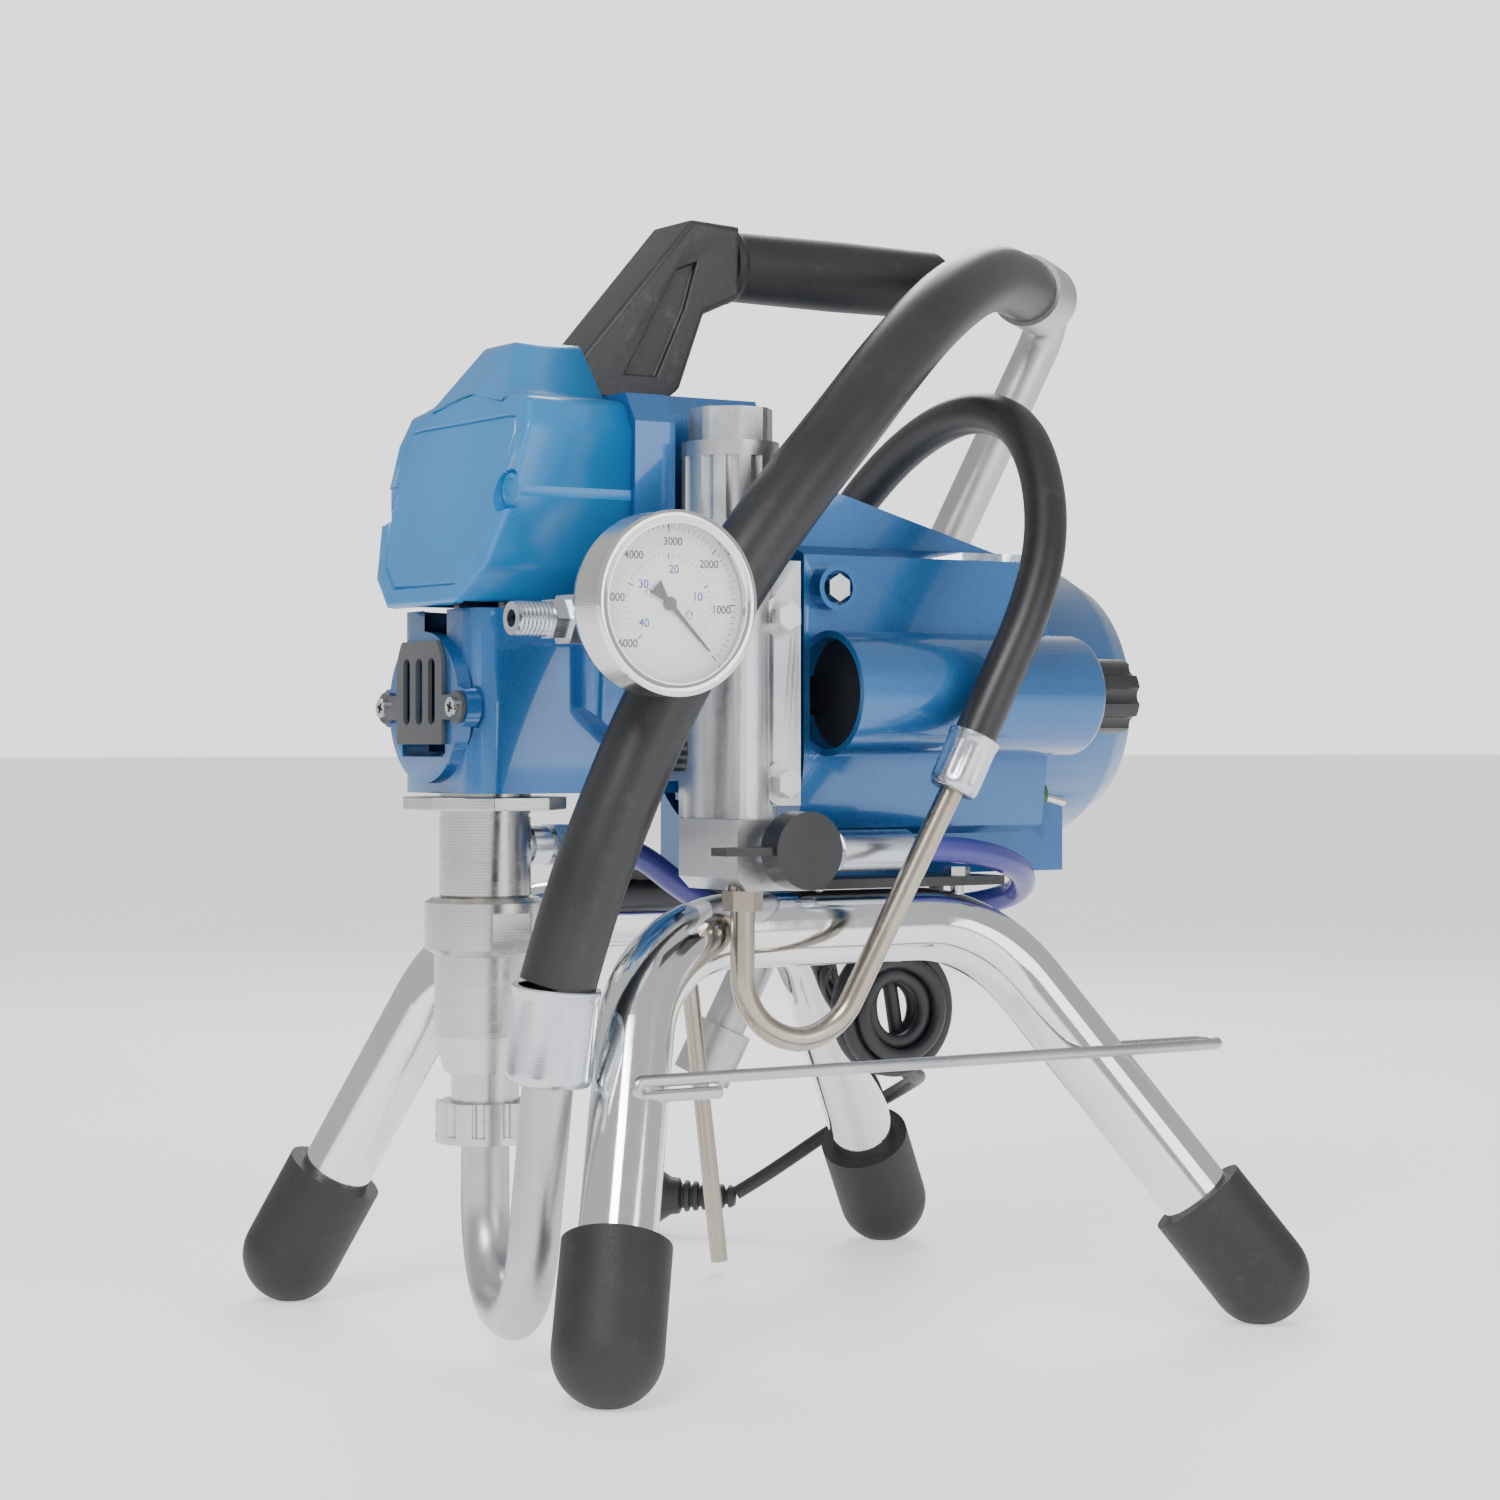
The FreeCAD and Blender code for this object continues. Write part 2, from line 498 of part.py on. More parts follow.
def build_controls():
    front = CONTROL_Y0 + 7.0
    plug = cyl(CONTROL_R - 3.02, 3.0, (CONTROL_X, front, CONTROL_Z), Y)
    add("control_end_plug", plug)
    board = box((CONTROL_X - 18, -20, CONTROL_Z - 4), (CONTROL_X + 18, 58, CONTROL_Z - 2.4))
    add("control_board", board)
    body = cyl(10.0, 9.3, (CONTROL_X, CONTROL_Y1 - 13.5, CONTROL_Z), Y)
    neck = cyl(6.0, 8.7, (CONTROL_X, CONTROL_Y1 - 4.7, CONTROL_Z), Y)
    pot = fused(body, neck).cut(cyl(3.0 + RUN, 20.0, (CONTROL_X, CONTROL_Y1 - 9.0, CONTROL_Z), Y))
    add("potentiometer", pot)
    base_y = CONTROL_Y1 + 0.8
    knob = cyl(KNOB_R, KNOB_LENGTH, (CONTROL_X, base_y, CONTROL_Z), Y)
    for k in range(8):
        angle = math.radians(45 * k)
        at = (CONTROL_X + (KNOB_R + 2.2) * math.cos(angle), base_y + 4.0, CONTROL_Z + (KNOB_R + 2.2)
              * math.sin(angle))
        knob = knob.cut(cyl(4.4, KNOB_LENGTH, at, Y))
    knob = knob.cut(cyl(7.0, 6.0, (CONTROL_X, base_y, CONTROL_Z), Y))
    stem = cyl(3.0, 13.0, (CONTROL_X, CONTROL_Y1 - 6.0, CONTROL_Z), Y)
    add("pressure_knob", fused(knob, stem))

    pivot = SWITCH
    bush = ring(5.5, 3.3, 11.0, (pivot.x, pivot.y - 8.0, pivot.z), Y)
    nut = hexagon(12.0, 2.5, (pivot.x, pivot.y - 2.0 + 0.05, pivot.z), Y).cut(cyl(5.5, 9.0,
        (pivot.x, pivot.y - 4.0, pivot.z), Y))
    add("switch_bush", bush)
    add("switch_nut", nut)
    PARTS["motor_cover"] = PARTS["motor_cover"].cut(cyl(5.52, 30.0, (pivot.x, pivot.y - 20.0, pivot.z), Y))
    lever = cone(1.5, 2.2, 15.0, (pivot.x, pivot.y, pivot.z), Y).fuse(Part.makeSphere(2.6, pivot))
    lever = lever.fuse(Part.makeSphere(2.2, Vector(pivot.x, pivot.y + 15.0, pivot.z))).removeSplitter()
    lever.rotate(pivot, X, -SWITCH_TILT)
    add("power_switch", lever)


# ---- handle ----
def build_handle():
    wedge = [(-116, 392.2), (-78, 392.2), (-70, 398), (-58, 430), (-40, 438), (-40, 469), (-64, 470), (-118,
        408)]
    bracket = prism([(-17, y, z) for y, z in wedge], (34, 0, 0))
    bracket = soften(bracket, 3.0, lambda c: abs(c.x) > 16 and c.z > 400)
    window = [(-98, 402), (-82, 402), (-68, 432), (-62, 452), (-72, 448)]
    for x in (-18, 14):
        bracket = bracket.cut(prism([(x, y, z) for y, z in window], (4, 0, 0)))
    core = cyl(9.0, 118.0, (0, -41, HANDLE_Z), Y)
    add("handle_bracket", bracket.fuse(core).removeSplitter())
    grip = turned([(9.02, 0), (16.5, 0), (16.5, 3), (15, 6), (HANDLE_R, 60), (15, 112), (12, 118), (7, 121),
                   (0, 121),
                   (0, 118.2), (9.02, 118.2)], (0, -39.9, HANDLE_Z), Y)
    add("handle_grip", grip)
    screws = []
    for y in (-108, -86):
        at = (0, y, 378.0)
        screws.append(cyl(3.0, 26.0, at))
        PARTS["drive_housing"] = PARTS["drive_housing"].cut(cyl(3.02, 30.0, at))
        PARTS["handle_bracket"] = PARTS["handle_bracket"].cut(cyl(3.02, 26.0, at))
    add("handle_screws", *screws)


# ---- manifold, filter, gauge and valves ----
def build_manifold():
    x, y = MANIFOLD_X, MANIFOLD_Y
    low = box((x - 6, y - 21, MANIFOLD_Z), (PRIME.x, y + 21, 217))
    low = low.makeChamfer(5.0, [e for e in low.Edges if e.CenterOfMass.z < MANIFOLD_Z
                                + 1 and abs(e.CenterOfMass.y - y) > 9])
    body = low.fuse(box((x - 19, y - 13, 217), (x, y + 19, 333))).fuse(cyl(19.0, 116.0, (x, y, 217)))
    body = body.fuse(box((x, y + 1, 222), (x + 16, y + 24, 322)))
    body = body.fuse(box((x - 19, y - 18, 232), (x - 2, y - 10, 300)))
    for z in (231, 299):
        body = body.fuse(cyl(9.0, 9.5, (x + 8, -63, z), X))
        body = body.cut(cyl(3.02, 60.0, (41, -63, z), X))
    body = body.cut(cyl(14.0, 120.0, (x, y, 222))).fuse(ring(17.0, 14.0, 8.0, (x, y, 333)))
    body = body.cut(cyl(6.42, 18.0, (OUTLET_X, -104, OUTLET_Z), Y))
    body = body.cut(cyl(8.02, 14.0, (PRIME.x - 12, PRIME.y, PRIME.z), X))
    body = body.cut(cyl(6.42, 12.0, (REAR_PORT.x, REAR_PORT.y - 10, REAR_PORT.z), Y))
    body = body.cut(cyl(DRAIN_TUBE_R + 0.1, 10.0, (DRAIN_X, DRAIN_Y, MANIFOLD_Z - 1)))
    body = body.cut(cyl(4.0, 24.0, (x, y, 200)))
    add("manifold_body", body.removeSplitter())
    arm = box((38, -86, 224), (x - 19, -59, 306))
    for z in (231, 299):
        arm = arm.cut(cyl(3.02, 60.0, (41, -63, z), X))
    housing = PARTS["drive_housing"]
    for z in (231, 299):
        housing = housing.cut(cyl(3.02, 20.0, (38.5, -63, z), X))
    PARTS["drive_housing"] = housing.fuse(arm).removeSplitter()
    bolts = [fused(hexagon(10.0, 6.0, (x + 17.6, -63, z), X), cyl(3.0, x - 22, (41.0, -63, z), X))
             for z in (231, 299)]
    add("manifold_bolts", *bolts)

    cap = ring(20.0, 17.05, 9.0, (x, y, 333.2)).fuse(cyl(20.0, 28.0, (x, y, 342.2)))
    for k in range(12):
        angle = math.radians(30 * k)
        cap = cap.cut(cyl(3.6, 26.0, (x + 22.2 * math.cos(angle), y + 22.2 * math.sin(angle), 338)))
    octagon = [(x + 18 * math.cos(math.radians(45 * k + 22.5)), y + 18
                * math.sin(math.radians(45 * k + 22.5)), 370.0)
               for k in range(8)]
    cap = cap.fuse(prism(octagon, (0, 0, 14)).common(cyl(17.4, 14, (x, y, 370)))).removeSplitter()
    add("filter_cap", cap)
    add("filter_seal", ring(13.9, 11.0, 3.0, (x, y, 336)))
    add("filter_screen", ring(10.0, 8.5, 100.0, (x, y, 226)))
    label = prism([(x - 6, y - 20, 236), (x - 18, y - 20, 236), (x - 18.5, y - 20, 242), (x - 18.5, y - 20,
        298),
                   (x - 3, y - 20, 298), (x - 3, y - 20, 242)], (0, 1.9, 0))
    add("label_plate", label.cut(PARTS["manifold_body"]))


def build_outlet_and_gauge():
    x, z = OUTLET_X, OUTLET_Z
    nipple = cyl(6.4, 20.0, (x, -112, z), Y)
    tee = hexagon(19.0, 22.0, (x, -162, z), Y).fuse(hexagon(16.0, 9.0, (x, -121, z), Y)).fuse(cyl(7.5, 20,
        (x, -141, z), Y))
    branch = cyl(7.0, GAUGE.x - x - 7.0, (x, GAUGE.y, z), X)
    tee = fused(tee, nipple, branch)
    tee = tee.cut(cyl(3.5, 70, (x, -160, z), Y))
    thread = ring(6.6, 3.5, 16.0, (x, -185, z), Y)
    nipple_hex = hexagon(15.0, 7.0, (x, -169, z), Y).cut(cyl(3.5, 10, (x, -170, z), Y))
    add("outlet_tee", fused(tee, nipple_hex, thread))

    g = Vector(GAUGE.x, GAUGE.y, GAUGE.z)
    case = turned([(0, 0), (31, 0), (34, 2), (GAUGE_R, 5), (GAUGE_R, 21), (34, GAUGE_DEPTH), (30.2,
        GAUGE_DEPTH),
                   (30.2, 21.0), (32.5, 21.0), (32.5, 3.0), (0, 3.0)], tuple(g), X)
    stem = hexagon(14.0, 7.0, (g.x - 7.0, g.y, z), X)
    add("gauge_case", fused(case, stem))
    face_x = g.x + 14.0
    dial = cyl(32.4, 1.0, (face_x, g.y, g.z), X).cut(cyl(1.3, 5, (face_x - 2, g.y, g.z), X))
    add("gauge_dial", dial)
    add("gauge_lens", cyl(32.4, 2.4, (face_x + 4.5, g.y, g.z), X))
    blade = prism([(face_x + 1.8, g.y - 0.9, g.z), (face_x + 1.8, g.y + 0.9, g.z), (face_x + 1.8, g.y + 0.25,
        g.z + 25),
                   (face_x + 1.8, g.y - 0.25, g.z + 25)], (0.6, 0, 0))
    tail = prism([(face_x + 1.8, g.y, g.z), (face_x + 1.8, g.y + 3.2, g.z - 9), (face_x + 1.8, g.y - 3.2, g.z
        - 9)],
                 (0.6, 0, 0))
    hub = cyl(2.6, 1.4, (face_x + 1.4, g.y, g.z), X)
    pointer = fused(blade, tail, hub, cyl(1.2, 8.0, (face_x - 6.0, g.y, g.z), X))
    pointer.rotate(Vector(face_x, g.y, g.z), X, POINTER_REST)
    add("gauge_pointer", pointer)


def build_prime_valve():
    p = PRIME
    seat = fused(hexagon(17.0, 5.0, (p.x, p.y, p.z), X), cyl(8.0, 11.0, (p.x - 11.0, p.y, p.z), X),
                 cyl(8.0, 4.0, (p.x + 5.0, p.y, p.z), X))
    seat = seat.cut(cyl(4.0 + RUN, 40.0, (p.x - 11.5, p.y, p.z), X))
    add("prime_valve_body", seat)
    knob_x = p.x + 10.0
    knob = cyl(15.5, 12.0, (knob_x, p.y, p.z), X).fuse(cyl(12.5, 5.0, (knob_x - 4.5, p.y, p.z), X))
    knob = knob.cut(cyl(10.4, 5.0, (knob_x - 4.6, p.y, p.z), X))
    tab = box((knob_x - 1, p.y - 38, p.z - 1.6), (knob_x + 10, p.y - 11, p.z + 1.6))
    stem = cyl(4.0, 21.0, (p.x - 10.0, p.y, p.z), X)
    add("prime_lever", fused(knob, tab, stem))


def build_fittings():
    p = REAR_PORT
    rear = cyl(6.4, 12.0, (p.x, p.y - 10, p.z), Y).fuse(hexagon(17.0, 7.9, (p.x, p.y + 0.1, p.z), Y))
    rear = rear.fuse(cyl(7.0, 4.0, (p.x, p.y + 8, p.z), Y)).fuse(hexagon(15.0, 7.0, (p.x, p.y + 12, p.z), Y))
    rear = rear.fuse(ring(8.5, BLUE_HOSE_R, 36.0, (p.x, p.y + 19, p.z), Y))
    add("manifold_hose_fitting", rear.removeSplitter())
    out = cyl(5.9, 14.0, (0, PUMP_Y + 12.5, 205), Y).fuse(cyl(8.0, 8.0, (0, PUMP_Y + 20, 205), Y))
    out = out.fuse(hexagon(17.0, 9.0, (0, PUMP_Y + 30, 205), Y)).fuse(cyl(6.5, 4.0, (0, PUMP_Y + 27, 205),
        Y))
    out = out.fuse(ring(8.5, BLUE_HOSE_R, 18.0, (0, PUMP_Y + 39, 205), Y))
    add("pump_hose_fitting", out.removeSplitter())
    nut = hexagon(14.0, 8.0, (DRAIN_X, DRAIN_Y, MANIFOLD_Z - 8), Z)
    add("drain_nut", nut.cut(cyl(DRAIN_TUBE_R, 10.0, (DRAIN_X, DRAIN_Y, MANIFOLD_Z - 9))))


# ---- hoses and cord ----
SUCTION_ROUTE = [
    (93.5, -174, 153.5), (98, -167, 184), (103, -154, 221), (107, -137, 261), (110, -112, 302), (108, -80,
        342),
    (100, -44, 376), (86, -8, 408), (66, 30, 434), (40, 68, 451), (10, 106, 460), (-14, 138, 459),
]
DRAIN_ROUTE = [
    (116.5, 10.3, 250.5), (118.5, 21, 273), (118, 37, 301), (111, 52, 331), (96, 62, 360), (74, 68, 384),
    (46, 69, 394), (14, 70, 392), (-20, 70, 380), (-52, 69, 360), (-76, 62, 332), (-92, 50, 298),
    (-100, 36, 264), (-102, 24, 232), (-101, 16, 204), (-100, 12, 182),
]
BLUE_ROUTE = [
    (83, -36, 203), (83, -12, 203), (83, 14, 203.5), (82, 40, 201), (74, 64, 195), (58, 82, 187), (38, 90,
        180),
    (19, 82, 175), (6, 62, 173), (1, 36, 173), (-1, 8, 173.5), (-1, -20, 174), (0, -44, 177), (0, -62, 187),
    (0, -80, 200), (0, -98, 205), (0, -115, 205),
]
CORD_START = [(-38, 104, 182), (-38, 104, 172), (-42, 102, 160), (-50, 97, 149)]
CORD_END = [
    (-56, 98, 101), (-65, 109, 92), (-81, 126, 88), (-103, 141, 84), (-128, 149, 76), (-150, 145, 65),
    (-168, 132, 51), (-180, 116, 37), (-189, 102, 26), (-194, 93, 20),
]
COIL = Vector(-54.0, 90.0, 123.0)
COIL_R, COIL_BUNDLE_R = 22.0, 10.5
PLUG_DIRECTION = Vector(-0.62, -0.78, 0.0)


def crimp(tube_end, hose_end, outer):
    """A crimped ferrule from a steel tube to the end face of a hose."""
    along = Vector(*hose_end) - Vector(*tube_end)
    return cyl(outer, along.Length, tube_end, along)


def build_hoses(u_end):
    add("suction_hose", hose("suction hose", SUCTION_ROUTE, SUCTION_R))
    add("suction_ferrule", crimp(u_end, SUCTION_ROUTE[0], 17.0))
    add("drain_hose", hose("drain hose", DRAIN_ROUTE, DRAIN_HOSE_R))
    add("fluid_hose", hose("fluid hose", BLUE_ROUTE, BLUE_HOSE_R))

    drain_top = (114.0, 0.0, 228.0)
    drain = [(DRAIN_X, DRAIN_Y, MANIFOLD_Z + 4), (DRAIN_X, DRAIN_Y, 128), (100, -49, 128), drain_top]
    add("drain_u_tube", rod_along(drain, [27.0, 27.0], DRAIN_TUBE_R, DRAIN_TUBE_R - 1.0))
    add("drain_ferrule", crimp(drain_top, DRAIN_ROUTE[0], 10.5))
    far_end = Vector(*DRAIN_ROUTE[-1])
    along = (far_end - Vector(*DRAIN_ROUTE[-2])).normalize()
    tube_start = far_end + along * 26
    add("drain_end_ferrule", crimp(far_end, tube_start, 10.5))
    tube = [tube_start, tube_start + along * 14, (-98, 22, 5)]
    add("drain_return_tube", rod_along(tube, [30.0], RETURN_TUBE_R, RETURN_TUBE_R - 0.8))

    end = Vector(*SUCTION_ROUTE[-1])
    along = (end - Vector(*SUCTION_ROUTE[-2])).normalize()
    neck = end + along * 30
    add("suction_end_ferrule", crimp(end, neck, 17.0))
    foot = Vector(-122, 40, 112)
    add("suction_tube", rod_along([neck, neck + along * 26, foot], [20.0], SUCTION_TUBE_R, SUCTION_TUBE_R
                                  - 1.5))
    back = (neck + along * 26 - foot).normalize()
    strainer = cyl(14.0, 26.0, foot - back * 26, back)
    add("suction_strainer", strainer.cut(cyl(11.0, 22.0, foot - back * 27, back)))


def build_cord():
    gland = cone(8.0, 5.0, 9.0, (-38, 104, 191), -Z)
    add("cord_gland", gland)
    add("power_cord_start", hose("cord start", CORD_START, CORD_R))
    coil = Part.makeTorus(COIL_R, COIL_BUNDLE_R, COIL, X)
    add("power_cord_coil", coil)
    add("power_cord_end", hose("cord end", CORD_END, CORD_R))
    start = Vector(*CORD_END[-1])
    profile = [(0, 0), (4.5, 0), (6.0, 26), (9.0, 28), (9.0, 34), (18.3, 44), (18.3, 52), (0, 52)]
    body = turned(profile, (start.x, start.y, 18.4), PLUG_DIRECTION)
    side = PLUG_DIRECTION.cross(Z).normalize()
    for offset in (-9.5, 9.5):
        base = Vector(start.x, start.y, 18.4) + PLUG_DIRECTION * 51 + side * offset
        body = body.fuse(cyl(2.4, 20.0, base, PLUG_DIRECTION))
    add("mains_plug", body.removeSplitter())


# Puts the middle of the sprayer's footprint at the origin.
ORIGIN_SHIFT = Vector(0, 16.5, 0)

# Small pieces that share a node as a group of separate solids.
GROUPS = {
    "hex_bolts": ["base_bolts", "cover_bolt", "manifold_bolts"],
    "cross_screws": ["front_cover_screws", "grille_screws", "handle_screws"],
    "motor_bearing_plates": ["motor_end_bell", "motor_rear_plate", "armature_bearing_front",
                             "armature_bearing_rear", "crank_bearing"],
    "motor_field": ["motor_can", "field_magnets"],
    "speed_control": ["control_board", "potentiometer", "switch_bush", "switch_nut"],
    "pump_packing": ["packing_nut", "packing_seals", "filter_seal"],
    "intake_seat_and_cage": ["intake_seat", "intake_ball_cage"],
    "hose_fittings": ["manifold_hose_fitting", "pump_hose_fitting"],
    "crimp_ferrules": ["suction_ferrule", "drain_ferrule"],
    "drain_steel_tube": ["drain_nut", "drain_u_tube"],
    "drain_return_tube": ["drain_end_ferrule", "drain_return_tube"],
    "suction_tube": ["suction_end_ferrule", "suction_tube", "suction_strainer"],
    "crank_yoke": ["crank_yoke", "pump_pin"],
    "power_cord": ["power_cord_start", "power_cord_end"],
    "armature_core": ["armature_core", "commutator"],
}

# Each first piece is cut where the second one seats in it.
SEATS = [
    ("manifold_hose_fitting", "fluid_hose"), ("pump_hose_fitting", "fluid_hose"),
    ("suction_ferrule", "suction_hose"), ("suction_ferrule", "suction_u_tube"),
    ("drain_ferrule", "drain_hose"), ("drain_ferrule", "drain_u_tube"),
    ("drain_end_ferrule", "drain_hose"), ("drain_end_ferrule", "drain_return_tube"),
    ("suction_end_ferrule", "suction_hose"), ("suction_end_ferrule", "suction_tube"),
    ("suction_strainer", "suction_tube"), ("power_cord_start", "power_cord_coil"),
    ("power_cord_end", "power_cord_coil"), ("mains_plug", "power_cord_end"),
    ("drive_housing", "gear_bearing_bracket"), ("power_cord_start", "cord_gland"),
]


def seat_and_group():
    for holder, held in SEATS:
        PARTS[holder] = PARTS[holder].cut(PARTS[held])
    for name, members in GROUPS.items():
        solids = [solid for member in members for solid in PARTS.pop(member).Solids]
        add(name, *solids)


def main():
    build_stand()
    build_rack_and_base()
    build_housing()
    build_grille()
    build_gears()
    build_pump_rod()
    u_end = build_pump()
    build_motor()
    build_controls()
    build_handle()
    build_manifold()
    build_outlet_and_gauge()
    build_prime_valve()
    build_fittings()
    build_hoses(u_end)
    build_cord()
    seat_and_group()
    os.makedirs("parts", exist_ok=True)
    for name, shape in PARTS.items():
        shape.translate(ORIGIN_SHIFT)
        shape.exportStep("parts/%s.step" % name)
    print(len(PARTS), "nodes")


main()
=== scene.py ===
import json
import math

import bmesh
import bpy
from mathutils import Matrix, Quaternion, Vector

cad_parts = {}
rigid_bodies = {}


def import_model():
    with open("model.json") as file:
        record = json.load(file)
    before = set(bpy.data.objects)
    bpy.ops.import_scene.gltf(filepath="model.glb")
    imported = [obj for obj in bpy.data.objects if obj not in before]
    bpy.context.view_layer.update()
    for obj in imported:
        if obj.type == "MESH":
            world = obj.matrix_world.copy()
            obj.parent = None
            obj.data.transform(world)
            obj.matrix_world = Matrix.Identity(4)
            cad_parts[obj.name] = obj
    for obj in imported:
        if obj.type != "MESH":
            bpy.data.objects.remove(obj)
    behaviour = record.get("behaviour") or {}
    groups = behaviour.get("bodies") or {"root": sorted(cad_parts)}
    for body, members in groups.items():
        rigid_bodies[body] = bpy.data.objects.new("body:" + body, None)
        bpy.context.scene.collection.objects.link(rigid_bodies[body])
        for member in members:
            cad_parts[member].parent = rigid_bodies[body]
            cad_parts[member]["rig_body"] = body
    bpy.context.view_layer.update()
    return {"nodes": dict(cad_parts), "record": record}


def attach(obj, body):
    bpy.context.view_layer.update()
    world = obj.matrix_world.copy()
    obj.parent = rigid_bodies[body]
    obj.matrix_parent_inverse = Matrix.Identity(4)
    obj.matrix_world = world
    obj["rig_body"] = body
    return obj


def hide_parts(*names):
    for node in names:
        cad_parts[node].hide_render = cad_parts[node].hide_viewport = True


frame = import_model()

SHIFT_Y = 0.0165
NODES = frame["nodes"]
X, Y, Z = Vector((1, 0, 0)), Vector((0, 1, 0)), Vector((0, 0, 1))
ROOT = "sprayer"


def at(x, y, z):
    """A point given in millimetres in the design's own axes, as metres in the row frame."""
    return Vector((x / 1000, y / 1000 + SHIFT_Y, z / 1000))


# ---- shader values with ordinary arithmetic ----
class Value:
    """A shader socket that Python's operators work on."""

    def __init__(self, graph, socket):
        self.graph, self.socket = graph, socket

    def _math(self, operation, *others):
        return self.graph.node("ShaderNodeMath", {"operation": operation}, dict(enumerate((self, *others))))

    def __add__(self, other):
        return self._math("ADD", other)

    def __mul__(self, other):
        return self._math("MULTIPLY", other)

    __radd__, __rmul__ = __add__, __mul__

    def __gt__(self, other):
        return self._math("GREATER_THAN", other)

    def __lt__(self, other):
        return self._math("LESS_THAN", other)

    def power(self, other):
        return self._math("POWER", other)

    def sine(self):
        return self._math("SINE")

    def span(self, low, high, out_low=0.0, out_high=1.0):
        """The value stretched from low..high to out_low..out_high, and held at those ends."""
        limits = {"From Min": low, "From Max": high, "To Min": out_low, "To Max": out_high}
        return self.graph.node("ShaderNodeMapRange", {}, {"Value": self, **limits})


class Graph:
    """A material's nodes on Object coordinates."""

    def __init__(self, name):
        self.material = bpy.data.materials.new(name)
        self.material.use_nodes = True
        tree = self.material.node_tree
        self.nodes, self.links = tree.nodes, tree.links
        self.shader = self.nodes["Principled BSDF"]
        self.place = self.node("ShaderNodeTexCoord", output="Object")

    def node(self, kind, settings=None, sockets=None, output=0):
        """A new node with its settings, then its sockets' values or links; returns one of its outputs."""
        node = self.nodes.new(kind)
        for key, value in (settings or {}).items():
            setattr(node, key, value)
        for key, value in (sockets or {}).items():
            self.feed(node.inputs[key], value)
        return Value(self, node.outputs[output])

    def feed(self, socket, value):
        if isinstance(value, Value):
            self.links.new(value.socket, socket)
        else:
            socket.default_value = value

    def scaled(self, stretch):
        return self.node("ShaderNodeMapping", {}, {"Vector": self.place, "Scale": stretch})

    def noise(self, scale, detail=4.0, rough=0.55, stretch=(1, 1, 1)):
        sockets = {"Vector": self.scaled(stretch), "Scale": scale, "Detail": detail, "Roughness": rough}
        return self.node("ShaderNodeTexNoise", {}, sockets)

    def cells(self, scale):
        return self.node("ShaderNodeTexVoronoi", {}, {"Vector": self.place, "Scale": scale})

    def height(self):
        return self.node("ShaderNodeSeparateXYZ", {}, {0: self.place}, "Z")

    # share of a surface turned away from the camera, used to paint shade into the blue paint's colour
    def facing(self):
        return self.node("ShaderNodeLayerWeight", {}, {"Blend": 0.35}, "Facing")

    def blend(self, factor, first, second):
        """A colour between two, each a colour or a link."""
        first, second = ((*c, 1.0) if isinstance(c, tuple) else c for c in (first, second))
        return self.node("ShaderNodeMix", {"data_type": "RGBA"}, {0: factor, 6: first, 7: second}, 2)

    def bump(self, height, strength, distance=0.0004):
        sockets = {"Strength": strength, "Distance": distance, "Height": height}
        self.set(Normal=self.node("ShaderNodeBump", {}, sockets))

    def set(self, **values):
        for key, value in values.items():
            self.feed(self.shader.inputs[key.replace("_", " ")], value)


def finish_of(name, low, high, rough, metal=0.0, grain=900.0, stretch=(1, 1, 1), relief=0.0, coat=0.0,
              dust=None):
    """A finish whose colour, roughness and surface all vary; rough is its (smoothest, roughest) pair."""
    g = Graph(name)
    broad = g.noise(14.0, 5.0)
    fine = g.noise(grain, 3.0, 0.6, stretch)
    colour = g.blend(broad.span(0.3, 0.7), low, high)
    if dust:
        spots = g.noise(95.0, 6.0, 0.7).span(0.56, 0.74)
        colour = g.blend(spots * 0.35, colour, dust)
    g.set(Base_Color=colour, Metallic=metal)
    g.set(Roughness=(broad * 0.4 + fine * 0.6).span(0.3, 0.7, *rough))
    if relief:
        g.bump(fine, relief)
    if coat:
        g.set(Coat_Weight=coat, Coat_Roughness=0.06)
    return g.material


def metallic_blue():
    g = Graph("blue_paint")
    flakes = g.cells(2600.0).span(0.0, 0.9)
    broad = g.noise(9.0, 4.0)
    base = g.blend(broad.span(0.3, 0.7), (0.006, 0.075, 0.25), (0.010, 0.11, 0.34))
    # painted shade: the blue darkens towards edges that turn away from the camera
    base = g.blend(g.facing().power(1.6) * 0.75, base, (0.003, 0.03, 0.12))
    base = g.blend(flakes * 0.22, base, (0.06, 0.34, 0.72))
    g.set(Base_Color=base, Metallic=0.45, Coat_Weight=1.0, Coat_Roughness=0.04)
    g.set(Roughness=(g.noise(160.0, 3.0) * 0.5 + flakes * 0.5).span(0.2, 0.9, 0.22, 0.40))
    g.bump(g.noise(420.0, 2.0), 0.05, 0.0002)
    return g.material


def moulded_blue():
    g = Graph("blue_cover")
    broad = g.noise(12.0, 5.0)
    pits = g.noise(1500.0, 2.0)
    g.set(Base_Color=g.blend(broad.span(0.3, 0.7), (0.012, 0.17, 0.43), (0.020, 0.22, 0.52)))
    g.set(Roughness=(pits * 0.5 + broad * 0.5).span(0.3, 0.7, 0.26, 0.38), Coat_Weight=0.25,
          Coat_Roughness=0.18)
    g.bump(pits, 0.10, 0.0002)
    return g.material


LATHE_LINES = 5200.0


def turned_metal(name, low, high, rough):
    """Machined metal with the fine circles a lathe leaves."""
    g = Graph(name)
    broad = g.noise(22.0, 5.0)
    streak = g.noise(260.0, 3.0, 0.6, (0.15, 0.15, 1.0))
    lines = (g.height() * LATHE_LINES + g.noise(30.0) * 2.0).sine()
    g.set(Base_Color=g.blend(broad.span(0.32, 0.68), low, high), Metallic=1.0)
    g.set(Roughness=(streak * 0.7 + broad * 0.3).span(0.3, 0.7, *rough))
    g.bump(streak + lines * 0.12, 0.12, 0.0002)
    return g.material


